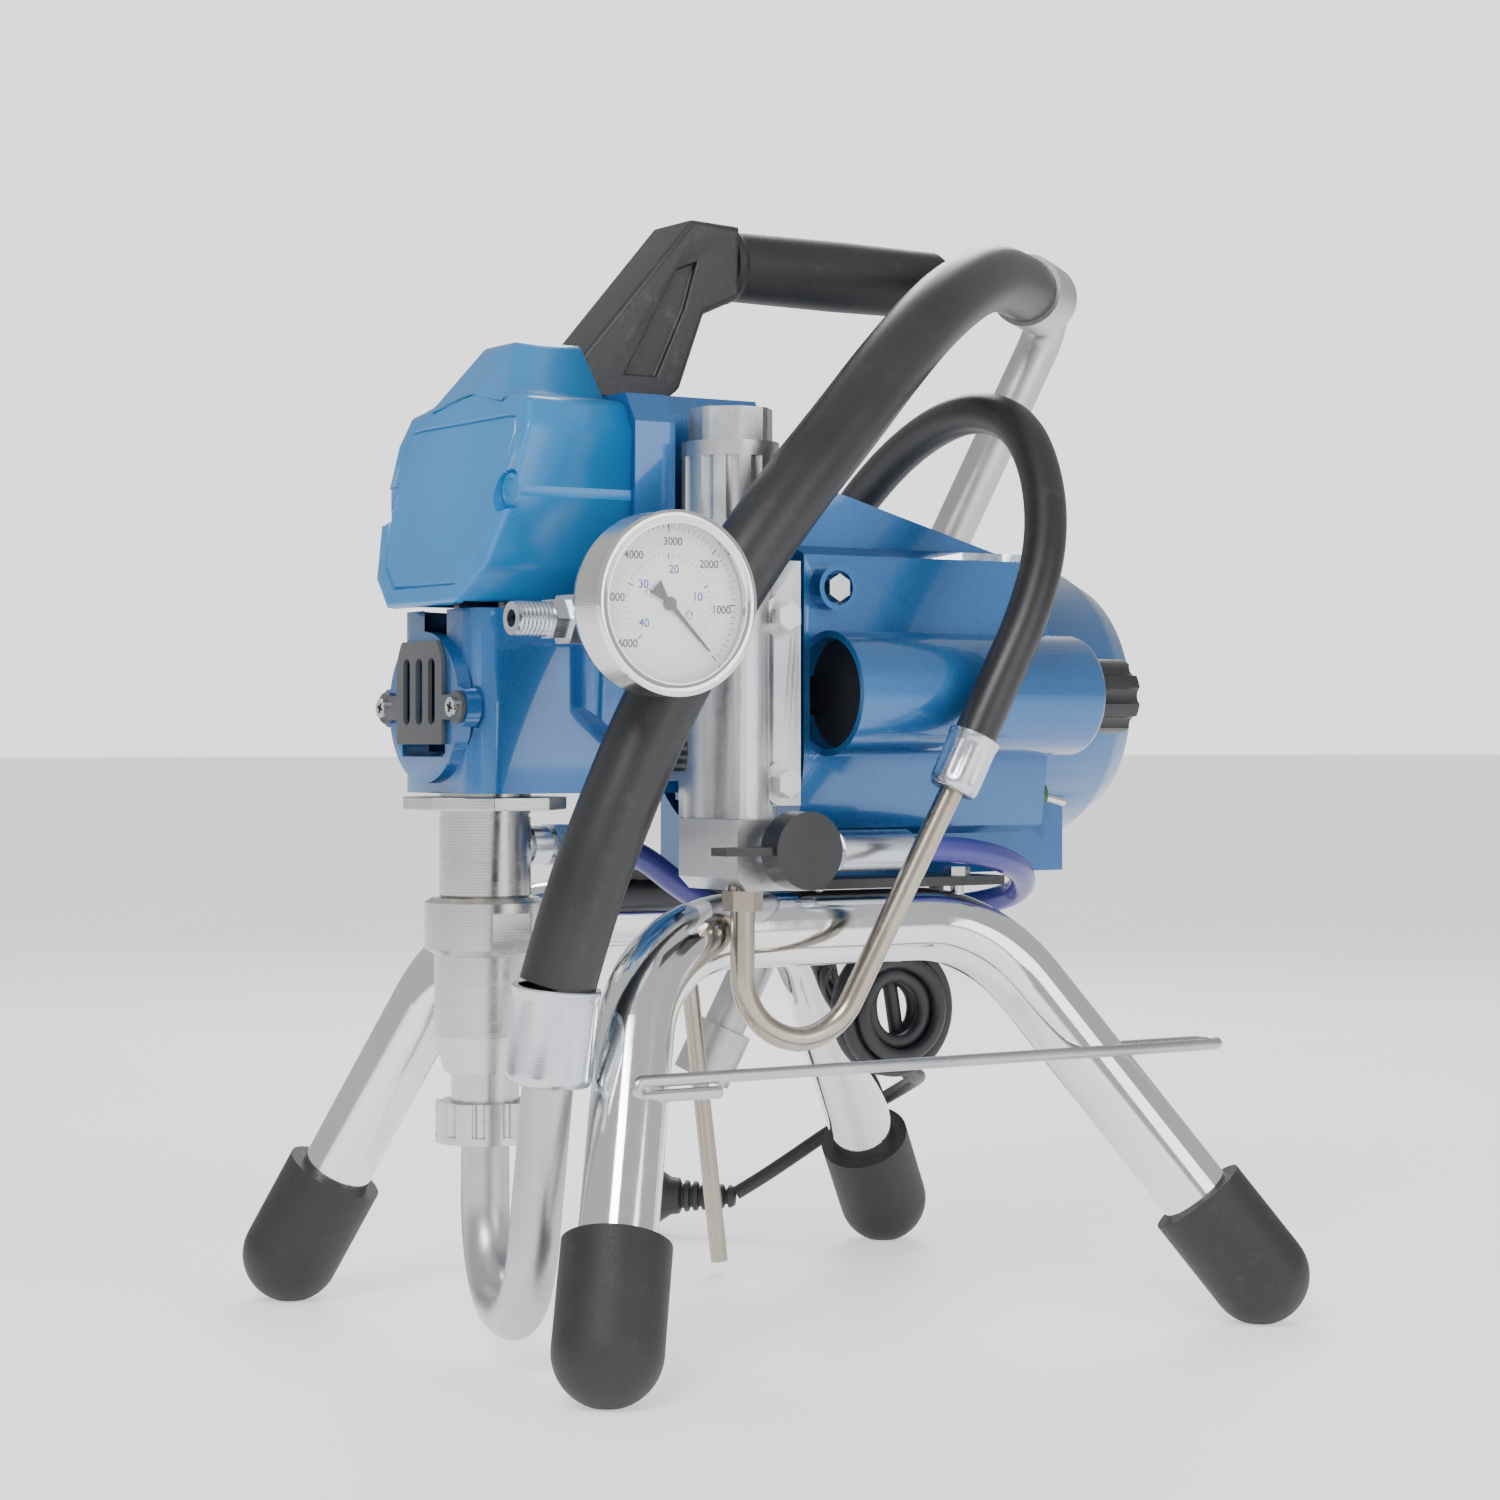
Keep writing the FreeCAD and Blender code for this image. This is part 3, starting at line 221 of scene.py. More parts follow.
def cast_metal():
    g = Graph("cast_alloy")
    broad = g.noise(26.0, 6.0)
    grit = g.noise(520.0, 5.0, 0.7)
    stain = g.noise(60.0, 6.0, 0.7).span(0.52, 0.72)
    base = g.blend(broad.span(0.3, 0.7), (0.50, 0.51, 0.53), (0.68, 0.69, 0.70))
    g.set(Base_Color=g.blend(stain * 0.4, base, (0.33, 0.33, 0.34)), Metallic=0.92)
    g.set(Roughness=(grit * 0.6 + broad * 0.4).span(0.3, 0.7, 0.26, 0.48))
    g.bump(grit, 0.28, 0.0004)
    return g.material


def clear_glass():
    g = Graph("lens")
    smear = g.noise(40.0, 4.0)
    g.set(Base_Color=g.blend(smear, (0.96, 0.98, 0.98), (0.90, 0.94, 0.95)), Alpha=smear.span(0.3, 0.7, 0.05,
        0.09))
    g.set(Roughness=smear.span(0.3, 0.7, 0.02, 0.05), Specular_IOR_Level=0.5)
    return g.material


def printed_dial():
    g = Graph("dial")
    broad = g.noise(45.0, 4.0)
    g.set(Base_Color=g.blend(broad.span(0.3, 0.7), (0.80, 0.81, 0.77), (0.87, 0.88, 0.85)))
    g.set(Roughness=broad.span(0.3, 0.7, 0.45, 0.6))
    g.bump(g.noise(900.0), 0.03, 0.0001)
    return g.material


LABEL_BARS_TOP, LABEL_RED_BASE = 0.262, 0.283


def printed_label():
    """A dark plate with grey bars and a red field near its top."""
    g = Graph("label")
    height = g.height()
    bars = (height * 1800.0).sine() > 0.2
    grey = g.blend(bars * (height < LABEL_BARS_TOP), (0.018, 0.018, 0.02), (0.11, 0.11, 0.12))
    fields = g.blend(height > LABEL_RED_BASE, grey, (0.30, 0.02, 0.02))
    g.set(Base_Color=fields, Roughness=g.noise(150.0).span(0.3, 0.7, 0.3, 0.45))
    g.bump(g.noise(800.0), 0.04, 0.0001)
    return g.material


MATERIALS = {
    "chrome_tube": finish_of("chrome", (0.74, 0.75, 0.77), (0.84, 0.85, 0.86), (0.05, 0.14), 1.0, 220.0,
                             relief=0.03),
    "rack_wire": finish_of("wire", (0.42, 0.43, 0.44), (0.58, 0.58, 0.58), (0.25, 0.42), 1.0, 700.0,
                           relief=0.1),
    "base_paint": finish_of("base_paint", (0.016, 0.017, 0.02), (0.028, 0.029, 0.032), (0.36, 0.5),
                            relief=0.16,
                            dust=(0.10, 0.10, 0.10)),
    "rubber": finish_of("rubber", (0.012, 0.012, 0.013), (0.022, 0.022, 0.023), (0.5, 0.66), relief=0.14,
                        dust=(0.055, 0.053, 0.05)),
    "blue_paint": metallic_blue(),
    "blue_cover": moulded_blue(),
    "grey_guard": finish_of("guard", (0.045, 0.047, 0.052), (0.075, 0.077, 0.082), (0.42, 0.56),
                            relief=0.18),
    "bright_screws": turned_metal("screw", (0.62, 0.63, 0.64), (0.76, 0.77, 0.78), (0.16, 0.30)),
    "gear_steel": turned_metal("gear", (0.34, 0.34, 0.35), (0.48, 0.48, 0.48), (0.22, 0.38)),
    "pump_steel": turned_metal("pump", (0.52, 0.51, 0.49), (0.66, 0.65, 0.63), (0.17, 0.33)),
    "ball_steel": finish_of("ball", (0.72, 0.72, 0.72), (0.82, 0.82, 0.82), (0.04, 0.1), 1.0),
    "motor_iron": finish_of("motor_iron", (0.14, 0.14, 0.15), (0.24, 0.24, 0.25), (0.4, 0.6), 0.8,
                            relief=0.12),
    "carbon": finish_of("carbon", (0.03, 0.03, 0.03), (0.06, 0.06, 0.06), (0.5, 0.7), relief=0.2),
    "black_plastic": finish_of("black_plastic", (0.012, 0.012, 0.014), (0.024, 0.024, 0.026), (0.28, 0.42),
                               relief=0.1, dust=(0.05, 0.05, 0.05)),
    "board": finish_of("board", (0.01, 0.10, 0.04), (0.02, 0.15, 0.06), (0.3, 0.45), relief=0.08),
    "switch_metal": finish_of("switch", (0.66, 0.66, 0.67), (0.8, 0.8, 0.8), (0.08, 0.18), 1.0),
    "cast_alloy": cast_metal(),
    "screen": finish_of("screen", (0.4, 0.4, 0.39), (0.56, 0.56, 0.54), (0.3, 0.45), 1.0, relief=0.2),
    "fitting_zinc": turned_metal("zinc", (0.50, 0.54, 0.60), (0.66, 0.68, 0.72), (0.18, 0.34)),
    "tube_alloy": finish_of("tube_alloy", (0.46, 0.46, 0.46), (0.60, 0.60, 0.59), (0.30, 0.46), 0.95, 300.0,
                            (1, 1, 0.1), 0.08),
    "tube_nickel": finish_of("tube_nickel", (0.36, 0.31, 0.26), (0.50, 0.45, 0.38), (0.22, 0.36), 1.0, 300.0,
                             (1, 1, 0.1), 0.06),
    "black_hose": finish_of("black_hose", (0.012, 0.012, 0.014), (0.024, 0.024, 0.027), (0.34, 0.48),
                            relief=0.06,
                            dust=(0.06, 0.06, 0.065)),
    "blue_hose": finish_of("blue_hose", (0.030, 0.028, 0.20), (0.05, 0.05, 0.30), (0.30, 0.42), relief=0.06,
                           coat=0.3),
    "gauge_steel": turned_metal("gauge", (0.58, 0.58, 0.58), (0.72, 0.72, 0.71), (0.12, 0.28)),
    "dial": printed_dial(),
    "lens": clear_glass(),
    "pointer": finish_of("pointer", (0.01, 0.01, 0.01), (0.02, 0.02, 0.02), (0.35, 0.5)),
    "cord_rubber": finish_of("cord_rubber", (0.018, 0.018, 0.02), (0.032, 0.032, 0.034), (0.42, 0.56),
                             relief=0.1,
                             dust=(0.07, 0.07, 0.07)),
}
LABEL = printed_label()
INK_BLACK = finish_of("ink_black", (0.012, 0.012, 0.012), (0.02, 0.02, 0.02), (0.45, 0.6))
INK_BLUE = finish_of("ink_blue", (0.02, 0.05, 0.34), (0.03, 0.07, 0.42), (0.45, 0.6))
# painted shade: a near-black finish laid where the screws' cross recesses are shaded
PAINTED_RECESS_SHADE = finish_of("painted_recess_shade", (0.004, 0.004, 0.004), (0.008, 0.008, 0.008), (0.7, 0.85))

for part in frame["record"]["subparts"]:
    node = NODES[part["node"]]
    node.data.materials.clear()
    node.data.materials.append(LABEL if part["node"] == "label_plate" else MATERIALS[part["material_slot"]])


# ---- mesh helpers ----
def piece(name, mesh, slot, body=ROOT, stands_for=(), material=None, smooth=True):
    """Links a mesh as a piece of the sprayer on a CAD body."""
    obj = bpy.data.objects.new(name, mesh)
    bpy.context.scene.collection.objects.link(obj)
    mesh.materials.append(material or MATERIALS[slot])
    if smooth:
        for polygon in mesh.polygons:
            polygon.use_smooth = True
        mesh.set_sharp_from_angle(angle=math.radians(38))
    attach(obj, body)
    if stands_for:
        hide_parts(*stands_for)
    return obj


def to_mesh(name, work):
    bmesh.ops.recalc_face_normals(work, faces=work.faces)
    mesh = bpy.data.meshes.new(name)
    work.to_mesh(mesh)
    work.free()
    return mesh


def lathe(work, profile, base, axis, steps=64, closed=False, dents=8):
    """Adds a surface of revolution. Each profile point is (radius, height), and a dent depth where a tool has
    pressed the surface in, all in mm along axis from base. An open profile gets a flat cap at each end."""
    turn = Z.rotation_difference(Vector(axis).normalized())
    rings = []
    for radius, height, *dent in profile:
        ring = []
        for k in range(steps):
            angle = 2 * math.pi * k / steps
            reach = radius - (dent[0] * (0.5 + 0.5 * math.cos(dents * angle)) ** 2 if dent else 0.0)
            spot = Vector((reach * math.cos(angle), reach * math.sin(angle), height)) / 1000
            ring.append(work.verts.new(base + turn @ spot))
        rings.append(ring)
    pairs = list(zip(rings, rings[1:]))
    if closed:
        pairs.append((rings[-1], rings[0]))
    for low, high in pairs:
        for k in range(steps):
            work.faces.new((low[k], low[(k + 1) % steps], high[(k + 1) % steps], high[k]))
    if not closed:
        work.faces.new(rings[0])
        work.faces.new(rings[-1])


def block(work, centre, size, turn=None):
    """Adds a box of the given size in mm, centred on a point."""
    made = bmesh.ops.create_cube(work, size=1.0)["verts"]
    bmesh.ops.scale(work, vec=Vector(size) / 1000, verts=made)
    if turn:
        bmesh.ops.rotate(work, matrix=turn.to_matrix(), verts=made)
    bmesh.ops.translate(work, vec=centre, verts=made)


def softened(name, node, slot, width, sharp=32, segments=3):
    """A CAD casting again, with its sharp edges rounded over."""
    mesh = NODES[node].data.copy()
    mesh.materials.clear()
    work = bmesh.new()
    work.from_mesh(mesh)
    bmesh.ops.remove_doubles(work, verts=work.verts, dist=1e-6)
    bmesh.ops.dissolve_limit(work, angle_limit=math.radians(0.5), verts=work.verts, edges=work.edges)
    work.to_mesh(mesh)
    work.free()
    obj = piece(name, mesh, slot, body=NODES[node]["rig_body"], stands_for=(node,))
    edge = obj.modifiers.new("edges", "BEVEL")
    edge.limit_method, edge.angle_limit = "ANGLE", math.radians(sharp)
    edge.width, edge.segments = width / 1000, segments
    edge.harden_normals = True
    return obj


def castings():
    softened("drive_casting", "drive_housing", "blue_paint", 2.2)
    softened("motor_shroud", "motor_cover", "blue_paint", 1.8)
    softened("manifold_casting", "manifold_body", "cast_alloy", 0.9)
    softened("bracket_moulding", "handle_bracket", "base_paint", 1.6)
    softened("guard_plate", "rod_grille", "grey_guard", 0.5)
    softened("lock_plate", "pump_lock_ring", "pump_steel", 0.6)


# ---- front cover with soft edges, an inset panel and screw lobes ----
COVER_FRONT, COVER_BACK = -200, -118
COVER_HALF = [(30, 303), (47, 316), (56, 342), (57, 374), (51, 386), (33, 389), (14, 413)]
COVER_SLOPES = (((-187, 300), (-163, 388)), ((-163, 388), (-147, 415)))
COVER_WALL = 0.0024
COVER_SCREW_X, COVER_SCREW_Z = 49, 348
POCKET_X, POCKET_Y, POCKET_R = 51, -170, 8.6
PANEL_BORDER, PANEL_LINE = 0.0045, 0.0009


def notched(work, centres, radius):
    """The mesh with round pockets cut into its front, down to each centre."""
    body = bpy.data.objects.new("uncut", to_mesh("cover_shell", work))
    pockets = bmesh.new()
    for centre in centres:
        lathe(pockets, [(radius, 0), (radius, 60)], at(*centre), -Y, 40)
    tool = bpy.data.objects.new("pockets", to_mesh("pockets", pockets))
    for obj in (body, tool):
        bpy.context.scene.collection.objects.link(obj)
    cut = body.modifiers.new("cut", "BOOLEAN")
    cut.operation, cut.solver, cut.object = "DIFFERENCE", "EXACT", tool
    mesh = bpy.data.meshes.new_from_object(body.evaluated_get(bpy.context.evaluated_depsgraph_get()))
    for obj in (body, tool):
        bpy.data.objects.remove(obj)
    return mesh


def front_cover():
    work = bmesh.new()
    outline = COVER_HALF + [(-x, z) for x, z in reversed(COVER_HALF)]
    near = [work.verts.new(at(x, COVER_FRONT, z)) for x, z in outline]
    far = [work.verts.new(at(x, COVER_BACK, z)) for x, z in outline]
    work.faces.new(near)
    work.faces.new(far)
    count = len(outline)
    for k in range(count):
        work.faces.new((near[k], near[(k + 1) % count], far[(k + 1) % count], far[k]))
    for (y0, z0), (y1, z1) in COVER_SLOPES:
        normal = Vector((0, -(z1 - z0), y1 - y0)).normalized()
        cut = bmesh.ops.bisect_plane(work, geom=work.verts[:] + work.edges[:] + work.faces[:], plane_co=at(0,
            y0, z0),
                                     plane_no=normal, clear_outer=True)
        edges = [e for e in cut["geom_cut"] if isinstance(e, bmesh.types.BMEdge)]
        bmesh.ops.holes_fill(work, edges=edges)
    bmesh.ops.recalc_face_normals(work, faces=work.faces)
    back = at(0, COVER_BACK, 0).y
    rim = [e for e in work.edges if not all(v.co.y > back - 1e-5 for v in e.verts)]
    bmesh.ops.bevel(work, geom=rim, offset=0.004, segments=4, profile=0.6, affect="EDGES")
    work.faces.ensure_lookup_table()
    face = max((f for f in work.faces if f.normal.y < -0.7), key=lambda f: f.calc_area())
    bmesh.ops.inset_individual(work, faces=[face], thickness=PANEL_BORDER, depth=0.0)
    bmesh.ops.inset_individual(work, faces=[face], thickness=PANEL_LINE, depth=-0.0012)
    bmesh.ops.inset_individual(work, faces=[face], thickness=PANEL_LINE, depth=0.0010)
    mesh = notched(work, [(x, POCKET_Y, COVER_SCREW_Z) for x in (-POCKET_X, POCKET_X)], POCKET_R)
    work = bmesh.new()
    work.from_mesh(mesh)
    open_faces = [f for f in work.faces if f.normal.y > 0.99 or f.normal.z < -0.9]
    bmesh.ops.delete(work, geom=open_faces, context="FACES")
    work.to_mesh(mesh)
    work.free()
    shell = piece("cover_shell", mesh, "blue_cover", stands_for=("front_cover",))
    wall = shell.modifiers.new("wall", "SOLIDIFY")
    wall.thickness = COVER_WALL
    wall.offset = -1.0
    lobes = bmesh.new()
    for x in (-COVER_SCREW_X, COVER_SCREW_X):
        lathe(lobes, [(7.5, 52), (7.5, 1.2), (7.1, 0.3), (6.3, 0), (5.3, 0), (5.0, 0.4), (5.0, 3.6), (0.4,
            3.6)],
                      at(x, POCKET_Y - 0.4, COVER_SCREW_Z), Y, 40)
    piece("cover_screw_lobes", to_mesh("lobes", lobes), "blue_cover")


def cross_recesses():
    """Painted shade: dark crosses in the pan heads of the guard's and the cover's screws, standing in for the
    shade in their cross recesses.
    """
    work = bmesh.new()
    for x, y, z, reach, width, tilt in ((31, -187.95, 262, 4.2, 1.0, 20), (COVER_SCREW_X, -169.1,
        COVER_SCREW_Z, 4.6, 1.1, -12)):
        for side in (-x, x):
            for size in ((reach, 0.3, width), (width, 0.3, reach)):
                block(work, at(side, y, z), size, Quaternion(Y, math.radians(tilt)))
    piece("screw_crosses", to_mesh("crosses", work), "pointer", material=PAINTED_RECESS_SHADE, smooth=False)


# ---- hoses and cord ----
SUCTION_D, DRAIN_D, FLUID_D, CORD_D = 0.030, 0.018, 0.011, 0.007
SUCTION_ROUTE = [
    (93.5, -174, 153.5), (98, -167, 184), (103, -154, 221), (107, -137, 261), (110, -112, 302), (108, -80,
        342),
    (100, -44, 376), (86, -8, 408), (66, 30, 434), (40, 68, 451), (10, 106, 460), (-14, 138, 459),
]
DRAIN_ROUTE = [
    (116.5, 10.3, 250.5), (118.5, 21, 273), (118, 37, 301), (111, 52, 331), (96, 62, 360), (74, 68, 384),
    (46, 69, 394), (14, 70, 392), (-20, 70, 380), (-52, 69, 360), (-76, 62, 332), (-92, 50, 298),
    (-100, 36, 264), (-102, 24, 232), (-101, 16, 204), (-100, 12, 182),
]
FLUID_ROUTE = [
    (83, -36, 203), (83, -12, 203), (83, 14, 203.5), (82, 40, 201), (74, 64, 195), (58, 82, 187), (38, 90,
        180),
    (19, 82, 175), (6, 62, 173), (1, 36, 173), (-1, 8, 173.5), (-1, -20, 174), (0, -44, 177), (0, -62, 187),
    (0, -80, 200), (0, -98, 205), (0, -115, 205),
]
CORD_START = [(-38, 104, 182), (-38, 104, 172), (-42, 102, 162), (-50, 96, 152)]
CORD_END = [
    (-60, 99, 96), (-70, 112, 89), (-84, 127, 87), (-103, 141, 84), (-128, 149, 76), (-150, 145, 65),
    (-168, 132, 51), (-180, 116, 37), (-189, 102, 26), (-194, 93, 20),
]
COIL = (-54.0, 90.0, 123.0)
COIL_R, COIL_PITCH, COIL_TURNS = 22.0, 7.6, 7
COIL_START, COIL_STEPS, STEP_OVER = 70.0, 16, 11


def tube(name, points, diameter, slot, stands_for):
    """A hose along a smooth line through its guide points, which are in mm."""
    curve = bpy.data.curves.new(name, "CURVE")
    curve.dimensions = "3D"
    curve.bevel_depth = diameter / 2
    curve.bevel_resolution = 8
    curve.resolution_u = 10
    curve.use_fill_caps = True
    line = curve.splines.new("NURBS")
    line.points.add(len(points) - 1)
    for spot, guide in zip(line.points, points):
        spot.co = (*at(*guide), 1.0)
    line.order_u = 3
    line.use_endpoint_u = True
    obj = bpy.data.objects.new(name, curve)
    bpy.context.scene.collection.objects.link(obj)
    curve.materials.append(MATERIALS[slot])
    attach(obj, ROOT)
    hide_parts(*stands_for)
    return obj


def coil_points():
    """Turns of the coil, each in its own place of a bundle and all stepping over at the same spot."""
    places = [(0.0, 0.0)]
    for k in range(COIL_TURNS - 1):
        angle = math.radians(60 * k + 30)
        places.append((COIL_PITCH * math.cos(angle), COIL_PITCH * math.sin(angle)))
    points = []
    for turn in range(COIL_TURNS):
        for step in range(COIL_STEPS):
            angle = math.radians(COIL_START - 360 / COIL_STEPS * step)
            here, after = places[turn], places[min(turn + 1, COIL_TURNS - 1)]
            share = max(0.0, (step - STEP_OVER) / (COIL_STEPS - STEP_OVER))
            out = here[0] + (after[0] - here[0]) * share
            side = here[1] + (after[1] - here[1]) * share
            radius = COIL_R + out
            points.append((COIL[0] + side, COIL[1] + radius * math.cos(angle), COIL[2] + radius
                           * math.sin(angle)))
    return points


def hoses():
    suction = tube("suction_hose_run", SUCTION_ROUTE, SUCTION_D, "black_hose", ("suction_hose",))
    drain = tube("drain_hose_run", DRAIN_ROUTE, DRAIN_D, "black_hose", ("drain_hose",))
    fluid = tube("fluid_hose_run", FLUID_ROUTE, FLUID_D, "blue_hose", ("fluid_hose",))
    at(*SUCTION_ROUTE[0])
    at(*DRAIN_ROUTE[0])
    at(*FLUID_ROUTE[0])
    lead = tube("mains_cord", CORD_START + coil_points() + CORD_END, CORD_D, "cord_rubber",
                ("power_cord", "power_cord_coil"))
    at(*CORD_START[0])
    mains_plug()


# ---- fittings ----
def ferrules():
    """The crimped sleeves where the steel tubes enter the hoses."""
    work = bmesh.new()
    for start, end, radius, bore in (((90, -176, 116), (93.5, -174, 153.5), 17.0, 15.05),
                                     ((114, 0, 228), (116.5, 10.3, 250.5), 10.5, 9.05)):
        base, run = at(*start), at(*end) - at(*start)
        long = run.length * 1000
        sleeve = [(bore - 5, 0), (radius - 1.6, 0), (radius - 0.7, 0.7), (radius - 0.2, 2.4), (radius, 4.0,
            0.3),
                  (radius, 6.0, 0.9), (radius, long - 7.0, 0.9), (radius, long - 5.0, 0.3), (radius, long
                      - 3.2),
                  (radius + 0.4, long - 2.4), (radius + 0.4, long - 0.5), (radius, long), (bore, long)]
        lathe(work, sleeve, base, run, 96, closed=True)
    piece("crimped_sleeves", to_mesh("sleeves", work), "fitting_zinc", stands_for=("crimp_ferrules",))


def thread_and_knurl():
    work = bmesh.new()
    ridges = [(6.4, 0.6), (6.62, 0.6)]
    for k in range(8):
        ridges += [(6.62, 1.0 + 1.8 * k), (7.0, 1.9 + 1.8 * k)]
    ridges += [(6.62, 15.4), (6.4, 15.4)]
    lathe(work, ridges, at(77, -185, 296), Y, 56, closed=True)
    piece("outlet_thread", to_mesh("thread", work), "fitting_zinc")


def mains_plug():
    """Round plug with a ribbed strain relief and two pins."""
    along = Vector((-0.62, -0.78, 0.0)).normalized()
    base = at(-194, 93, 18.4)
    work = bmesh.new()
    profile = [(3.6, 0), (4.6, 0.4)]
    for k in range(6):
        grown = 5.2 + 0.45 * k
        profile += [(grown, 1.5 + 4.4 * k), (grown + 0.5, 2.3 + 4.4 * k), (grown + 0.5, 3.7 + 4.4 * k),
                    (grown - 1.2, 4.3 + 4.4 * k), (grown - 1.2, 5.3 + 4.4 * k)]
    profile += [(9.0, 28.5), (9.6, 33), (13, 38), (17.6, 43), (18.3, 44), (18.3, 51), (17.6, 52), (0.4, 52)]
    lathe(work, profile, base, along, 56)
    piece("round_plug", to_mesh("round_plug", work), "cord_rubber", stands_for=("mains_plug",))
    work = bmesh.new()
    side = along.cross(Z).normalized()
    for offset in (-0.0095, 0.0095):
        lathe(work, [(2.4, 0), (2.4, 18.4), (1.8, 19.6), (0.5, 20)], base + along * 0.051 + side * offset,
                      along, 24)
    piece("plug_pins", to_mesh("plug_pins", work), "bright_screws")
    return [bpy.data.objects["round_plug"], bpy.data.objects["plug_pins"]]


# ---- gauge ----
GAUGE = (125.0, -152.0, 300.0)
FACE_X = GAUGE[0] + 15.02
GAUGE_START, GAUGE_SWEEP = -45.0, 270.0


def dial_spot(share, radius, lift=0.0):
    """A point on the dial; share runs from the scale's start to its end, counter-clockwise seen from the front."""
    angle = math.radians(GAUGE_START + GAUGE_SWEEP * share)
    return at(FACE_X + lift, GAUGE[1] + radius * math.cos(angle), GAUGE[2] + radius * math.sin(angle))


def ring_of_bars():
    """A node tree that sets a bar at equal steps around an arc in the XY plane, each pointing outwards."""
    tree = bpy.data.node_groups.new("ring_of_bars", "GeometryNodeTree")
    names = {}
    for name, kind in (("Count", "NodeSocketInt"), ("Radius", "NodeSocketFloat"), ("Start",
        "NodeSocketFloat"),
                       ("Step", "NodeSocketFloat"), ("Bar Size", "NodeSocketVector"),
                       ("Finish", "NodeSocketMaterial")):
        names[name] = tree.interface.new_socket(name, in_out="INPUT", socket_type=kind).identifier
    tree.interface.new_socket("Geometry", in_out="OUTPUT", socket_type="NodeSocketGeometry")
    new, link = tree.nodes.new, tree.links.new
    given, result = new("NodeGroupInput"), new("NodeGroupOutput")
    points, index = new("GeometryNodePoints"), new("GeometryNodeInputIndex")
    angle = new("ShaderNodeMath")
    angle.operation = "MULTIPLY_ADD"
    place, radius, turn = new("ShaderNodeVectorRotate"), new("ShaderNodeCombineXYZ"), new("ShaderNodeCombineXYZ")
    place.rotation_type = "Z_AXIS"
    bar, spread = new("GeometryNodeMeshCube"), new("GeometryNodeInstanceOnPoints")
    real, painted = new("GeometryNodeRealizeInstances"), new("GeometryNodeSetMaterial")
    link(given.outputs["Count"], points.inputs["Count"])
    link(index.outputs[0], angle.inputs[0])
    link(given.outputs["Step"], angle.inputs[1])
    link(given.outputs["Start"], angle.inputs[2])
    link(given.outputs["Radius"], radius.inputs["X"])
    link(radius.outputs[0], place.inputs["Vector"])
    link(angle.outputs[0], place.inputs["Angle"])
    link(place.outputs[0], points.inputs["Position"])
    link(angle.outputs[0], turn.inputs["Z"])
    link(given.outputs["Bar Size"], bar.inputs["Size"])
    link(points.outputs[0], spread.inputs["Points"])
    link(bar.outputs["Mesh"], spread.inputs["Instance"])
    link(turn.outputs[0], spread.inputs["Rotation"])
    link(spread.outputs[0], real.inputs[0])
    link(real.outputs[0], painted.inputs["Geometry"])
    link(given.outputs["Finish"], painted.inputs["Material"])
    link(painted.outputs[0], result.inputs[0])
    return tree, names


BAR_TREE, BAR_INPUTS = ring_of_bars()


def bars_around(name, centre, axis, up, count, radius, start, step, size, slot, material=None):
    """Bars around an arc; start and step are degrees from up, counter-clockwise about axis, sizes in mm."""
    holder = bpy.data.objects.new("holder", bpy.data.meshes.new("holder"))
    bpy.context.scene.collection.objects.link(holder)
    setup = holder.modifiers.new("bars", "NODES")
    setup.node_group = BAR_TREE
    values = {"Count": count, "Radius": radius / 1000, "Start": math.radians(start),
              "Step": math.radians(step),
              "Bar Size": [v / 1000 for v in size], "Finish": material or MATERIALS[slot]}
    for key, value in values.items():
        setup[BAR_INPUTS[key]] = value
    bpy.context.view_layer.update()
    mesh = bpy.data.meshes.new_from_object(holder.evaluated_get(bpy.context.evaluated_depsgraph_get()))
    bpy.data.objects.remove(holder)
    across = Vector(axis).cross(Vector(up))
    turn = Matrix((Vector(up), across, Vector(axis))).transposed().to_4x4()
    mesh.transform(Matrix.Translation(centre) @ turn)
    mesh.materials.clear()
    return piece(name, mesh, slot, material=material, smooth=False)


def dial_number(word, share, radius, size, material):
    text = bpy.data.curves.new("number", "FONT")
    text.body = word
    text.size = size / 1000
    text.extrude = 0.00004
    text.offset = 0.00006
    text.align_x, text.align_y = "CENTER", "CENTER"
    holder = bpy.data.objects.new("number", text)
    bpy.context.scene.collection.objects.link(holder)
    holder.matrix_world = Matrix.Translation(dial_spot(share, radius, 0.02)) @ Matrix(
        ((0, 0, 1, 0), (1, 0, 0, 0), (0, 1, 0, 0), (0, 0, 0, 1)))
    bpy.context.view_layer.update()
    mesh = bpy.data.meshes.new_from_object(holder.evaluated_get(bpy.context.evaluated_depsgraph_get()))
    mesh.transform(holder.matrix_world)
    bpy.data.objects.remove(holder)
    mesh.materials.clear()
    ink = "blue" if material is INK_BLUE else "black"
    piece("dial_%s_%s" % (ink, word), mesh, "pointer", material=material, smooth=False)


